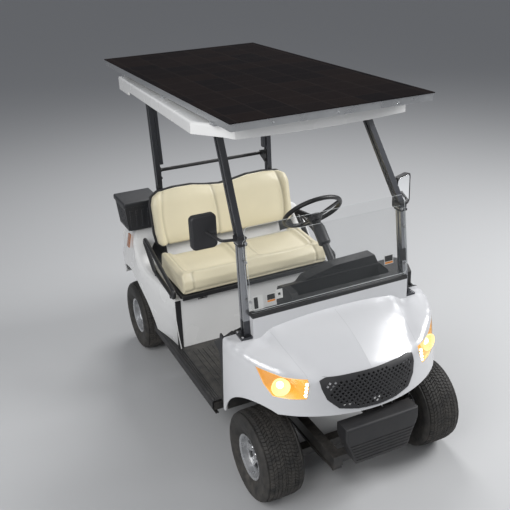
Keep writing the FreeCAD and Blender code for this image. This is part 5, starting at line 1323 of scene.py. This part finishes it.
class CART_OT_smooth_panels(bpy.types.Operator):
    """Shade the curved solids smooth, in copies that keep each one's form"""
    bl_idname = "cart.smooth_panels"
    bl_label = "Smooth panels"

    def execute(self, context):
        bodies = {node: name for name, nodes in frame["record"]["behaviour"]["bodies"].items()
                  for node in nodes}
        slots = node_slots()
        for node in SMOOTH_NODES:
            degrees = SMOOTH_ANGLES.get(node, SMOOTH_ANGLE)
            bm = bmesh.new()
            bm.from_mesh(frame["nodes"][node].data)
            bmesh.ops.remove_doubles(bm, verts=bm.verts, dist=2e-6)
            for face in bm.faces:
                face.smooth = True
            for edge in bm.edges:
                edge.smooth = (len(edge.link_faces) != 2
                               or edge.calc_face_angle(0) < math.radians(degrees))
            piece = new_object(node + "_panel", mesh_from(bm, node + "_panel"))
            piece.data.materials.append(MATERIALS[slots[node]])
            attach(piece, bodies[node])
            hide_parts(node)
        return {"FINISHED"}


class CART_OT_mirror_faces(bpy.types.Operator):
    """Lay the mirror glass in both mirror housings"""
    bl_idname = "cart.mirror_faces"
    bl_label = "Mirror glass"

    def execute(self, context):
        for across, turn, name in ((0.532, 204, "left"), (-0.566, 0, "right")):
            bm = bmesh.new()
            made = bmesh.ops.create_cube(bm, size=1)
            bmesh.ops.scale(bm, vec=MIRROR_GLASS_SIZE, verts=made["verts"])
            posts = [edge for edge in bm.edges
                     if abs(edge.verts[0].co.y - edge.verts[1].co.y) > 0.001]
            bmesh.ops.bevel(bm, geom=posts, offset=0.017, segments=6, profile=0.5,
                            affect="EDGES", material=-1)
            place = (Matrix.Translation((across, *MIRROR_PLACE)) @
                     Matrix.Rotation(math.radians(turn), 4, "Z") @
                     Matrix.Translation((0, 0.0150, 0)))
            bmesh.ops.transform(bm, matrix=place, verts=bm.verts)
            piece_from(bm, "mirror_glass_" + name, "chassis", material="mirror_face",
                       smooth=False)
        return {"FINISHED"}


def add_floor(color):
    """Pale floor below the wheels."""
    bm = bmesh.new()
    bmesh.ops.create_grid(bm, x_segments=2, y_segments=2, size=40)
    floor = new_object("studio_floor", mesh_from(bm, "studio_floor"))
    material, tree, shader = new_material("studio_floor")
    feed(tree, shader.inputs["Base Color"], color)
    feed(tree, shader.inputs["Roughness"], 0.75)
    floor.data.materials.append(material)


def add_light(name, power, size, spot, aim):
    """Square soft light that looks at a point."""
    light = bpy.data.lights.new(name, "AREA")
    light.energy = power
    light.size = size
    new_object(name, light).matrix_world = look_along(Vector(spot) - Vector(aim), spot)


def add_camera(focal_length):
    """Camera at the photograph's place and angle."""
    lens = bpy.data.cameras.new("photo_view")
    lens.sensor_width = 36
    lens.lens = focal_length
    camera = new_object("photo_view", lens)
    right = Vector(CAMERA_RIGHT).normalized()
    ahead = Vector(CAMERA_AHEAD).normalized()
    up = right.cross(ahead).normalized()
    right = ahead.cross(up).normalized()
    turn = Matrix((right, up, -ahead)).transposed().to_4x4()
    camera.matrix_world = Matrix.Translation(CAMERA_PLACE) @ turn
    lens.clip_start, lens.clip_end = 0.05, 200
    bpy.context.scene.camera = camera


class CART_OT_stage(bpy.types.Operator):
    """Set the floor, the lights and the camera"""
    bl_idname = "cart.stage"
    bl_label = "Stage"

    def execute(self, context):
        stage = context.scene.cart_stage
        add_floor(tuple(stage.floor))
        for name, power, size, spot, aim in (
                ("key_light", stage.key, 2.2, (4.4, -1.6, 3.6), (0, -0.2, 0.8)),
                ("fill_light", stage.fill, 3.2, (-3.6, -2.6, 3.4), (0, 0, 0.6)),
                ("rim_light", stage.rim, 2.4, (1.8, 3.6, 5.4), (0, 0, 0.9))):
            add_light(name, power, size, spot, aim)
        world = bpy.data.worlds.new("studio")
        world.use_nodes = True
        sky = world.node_tree.nodes["Background"].inputs
        sky["Color"].default_value = (0.9, 0.93, 1, 1)
        sky["Strength"].default_value = stage.sky
        context.scene.world = world
        context.scene.view_settings.view_transform = "Standard"
        context.scene.view_settings.exposure = stage.exposure
        add_camera(stage.lens)
        return {"FINISHED"}


OPERATORS = (CART_OT_finishes, CART_OT_stage, CART_OT_smooth_panels, CART_OT_seat_cushion,
             CART_OT_seat_back, CART_OT_tyres, CART_OT_wheel_nuts, CART_OT_headlamps,
             CART_OT_fasteners, CART_OT_screen_fittings, CART_OT_body_trim, CART_OT_mirror_faces,
             CART_OT_grille_shade)


class CART_PT_build(bpy.types.Panel):
    """Lists the steps that dress the cart"""
    bl_idname = "CART_PT_build"
    bl_label = "Golf Cart"
    bl_space_type = "VIEW_3D"
    bl_region_type = "UI"
    bl_category = "Golf Cart"

    def draw(self, context):
        for step in OPERATORS:
            self.layout.operator(step.bl_idname)
        for group in (context.scene.cart_paint, context.scene.cart_seat,
                      context.scene.cart_wheels, context.scene.cart_stage):
            for name in group.__annotations__:
                self.layout.prop(group, name)


GROUP_TYPES = {"cart_paint": CartPaint, "cart_seat": CartSeat, "cart_wheels": CartWheels,
               "cart_stage": CartStage}


def register():
    """Register the properties, the operators and the panel."""
    for item in (*GROUP_TYPES.values(), *OPERATORS, CART_PT_build):
        bpy.utils.register_class(item)
    for name, kind in GROUP_TYPES.items():
        setattr(bpy.types.Scene, name, PointerProperty(type=kind))


def unregister():
    """Remove the panel, the operators and the properties."""
    for name in GROUP_TYPES:
        delattr(bpy.types.Scene, name)
    for item in reversed((*GROUP_TYPES.values(), *OPERATORS, CART_PT_build)):
        bpy.utils.unregister_class(item)


def main():
    """Dress the cart."""
    register()
    for step in OPERATORS:
        family, name = step.bl_idname.split(".")
        getattr(getattr(bpy.ops, family), name)()


if __name__ == "__main__":
    main()
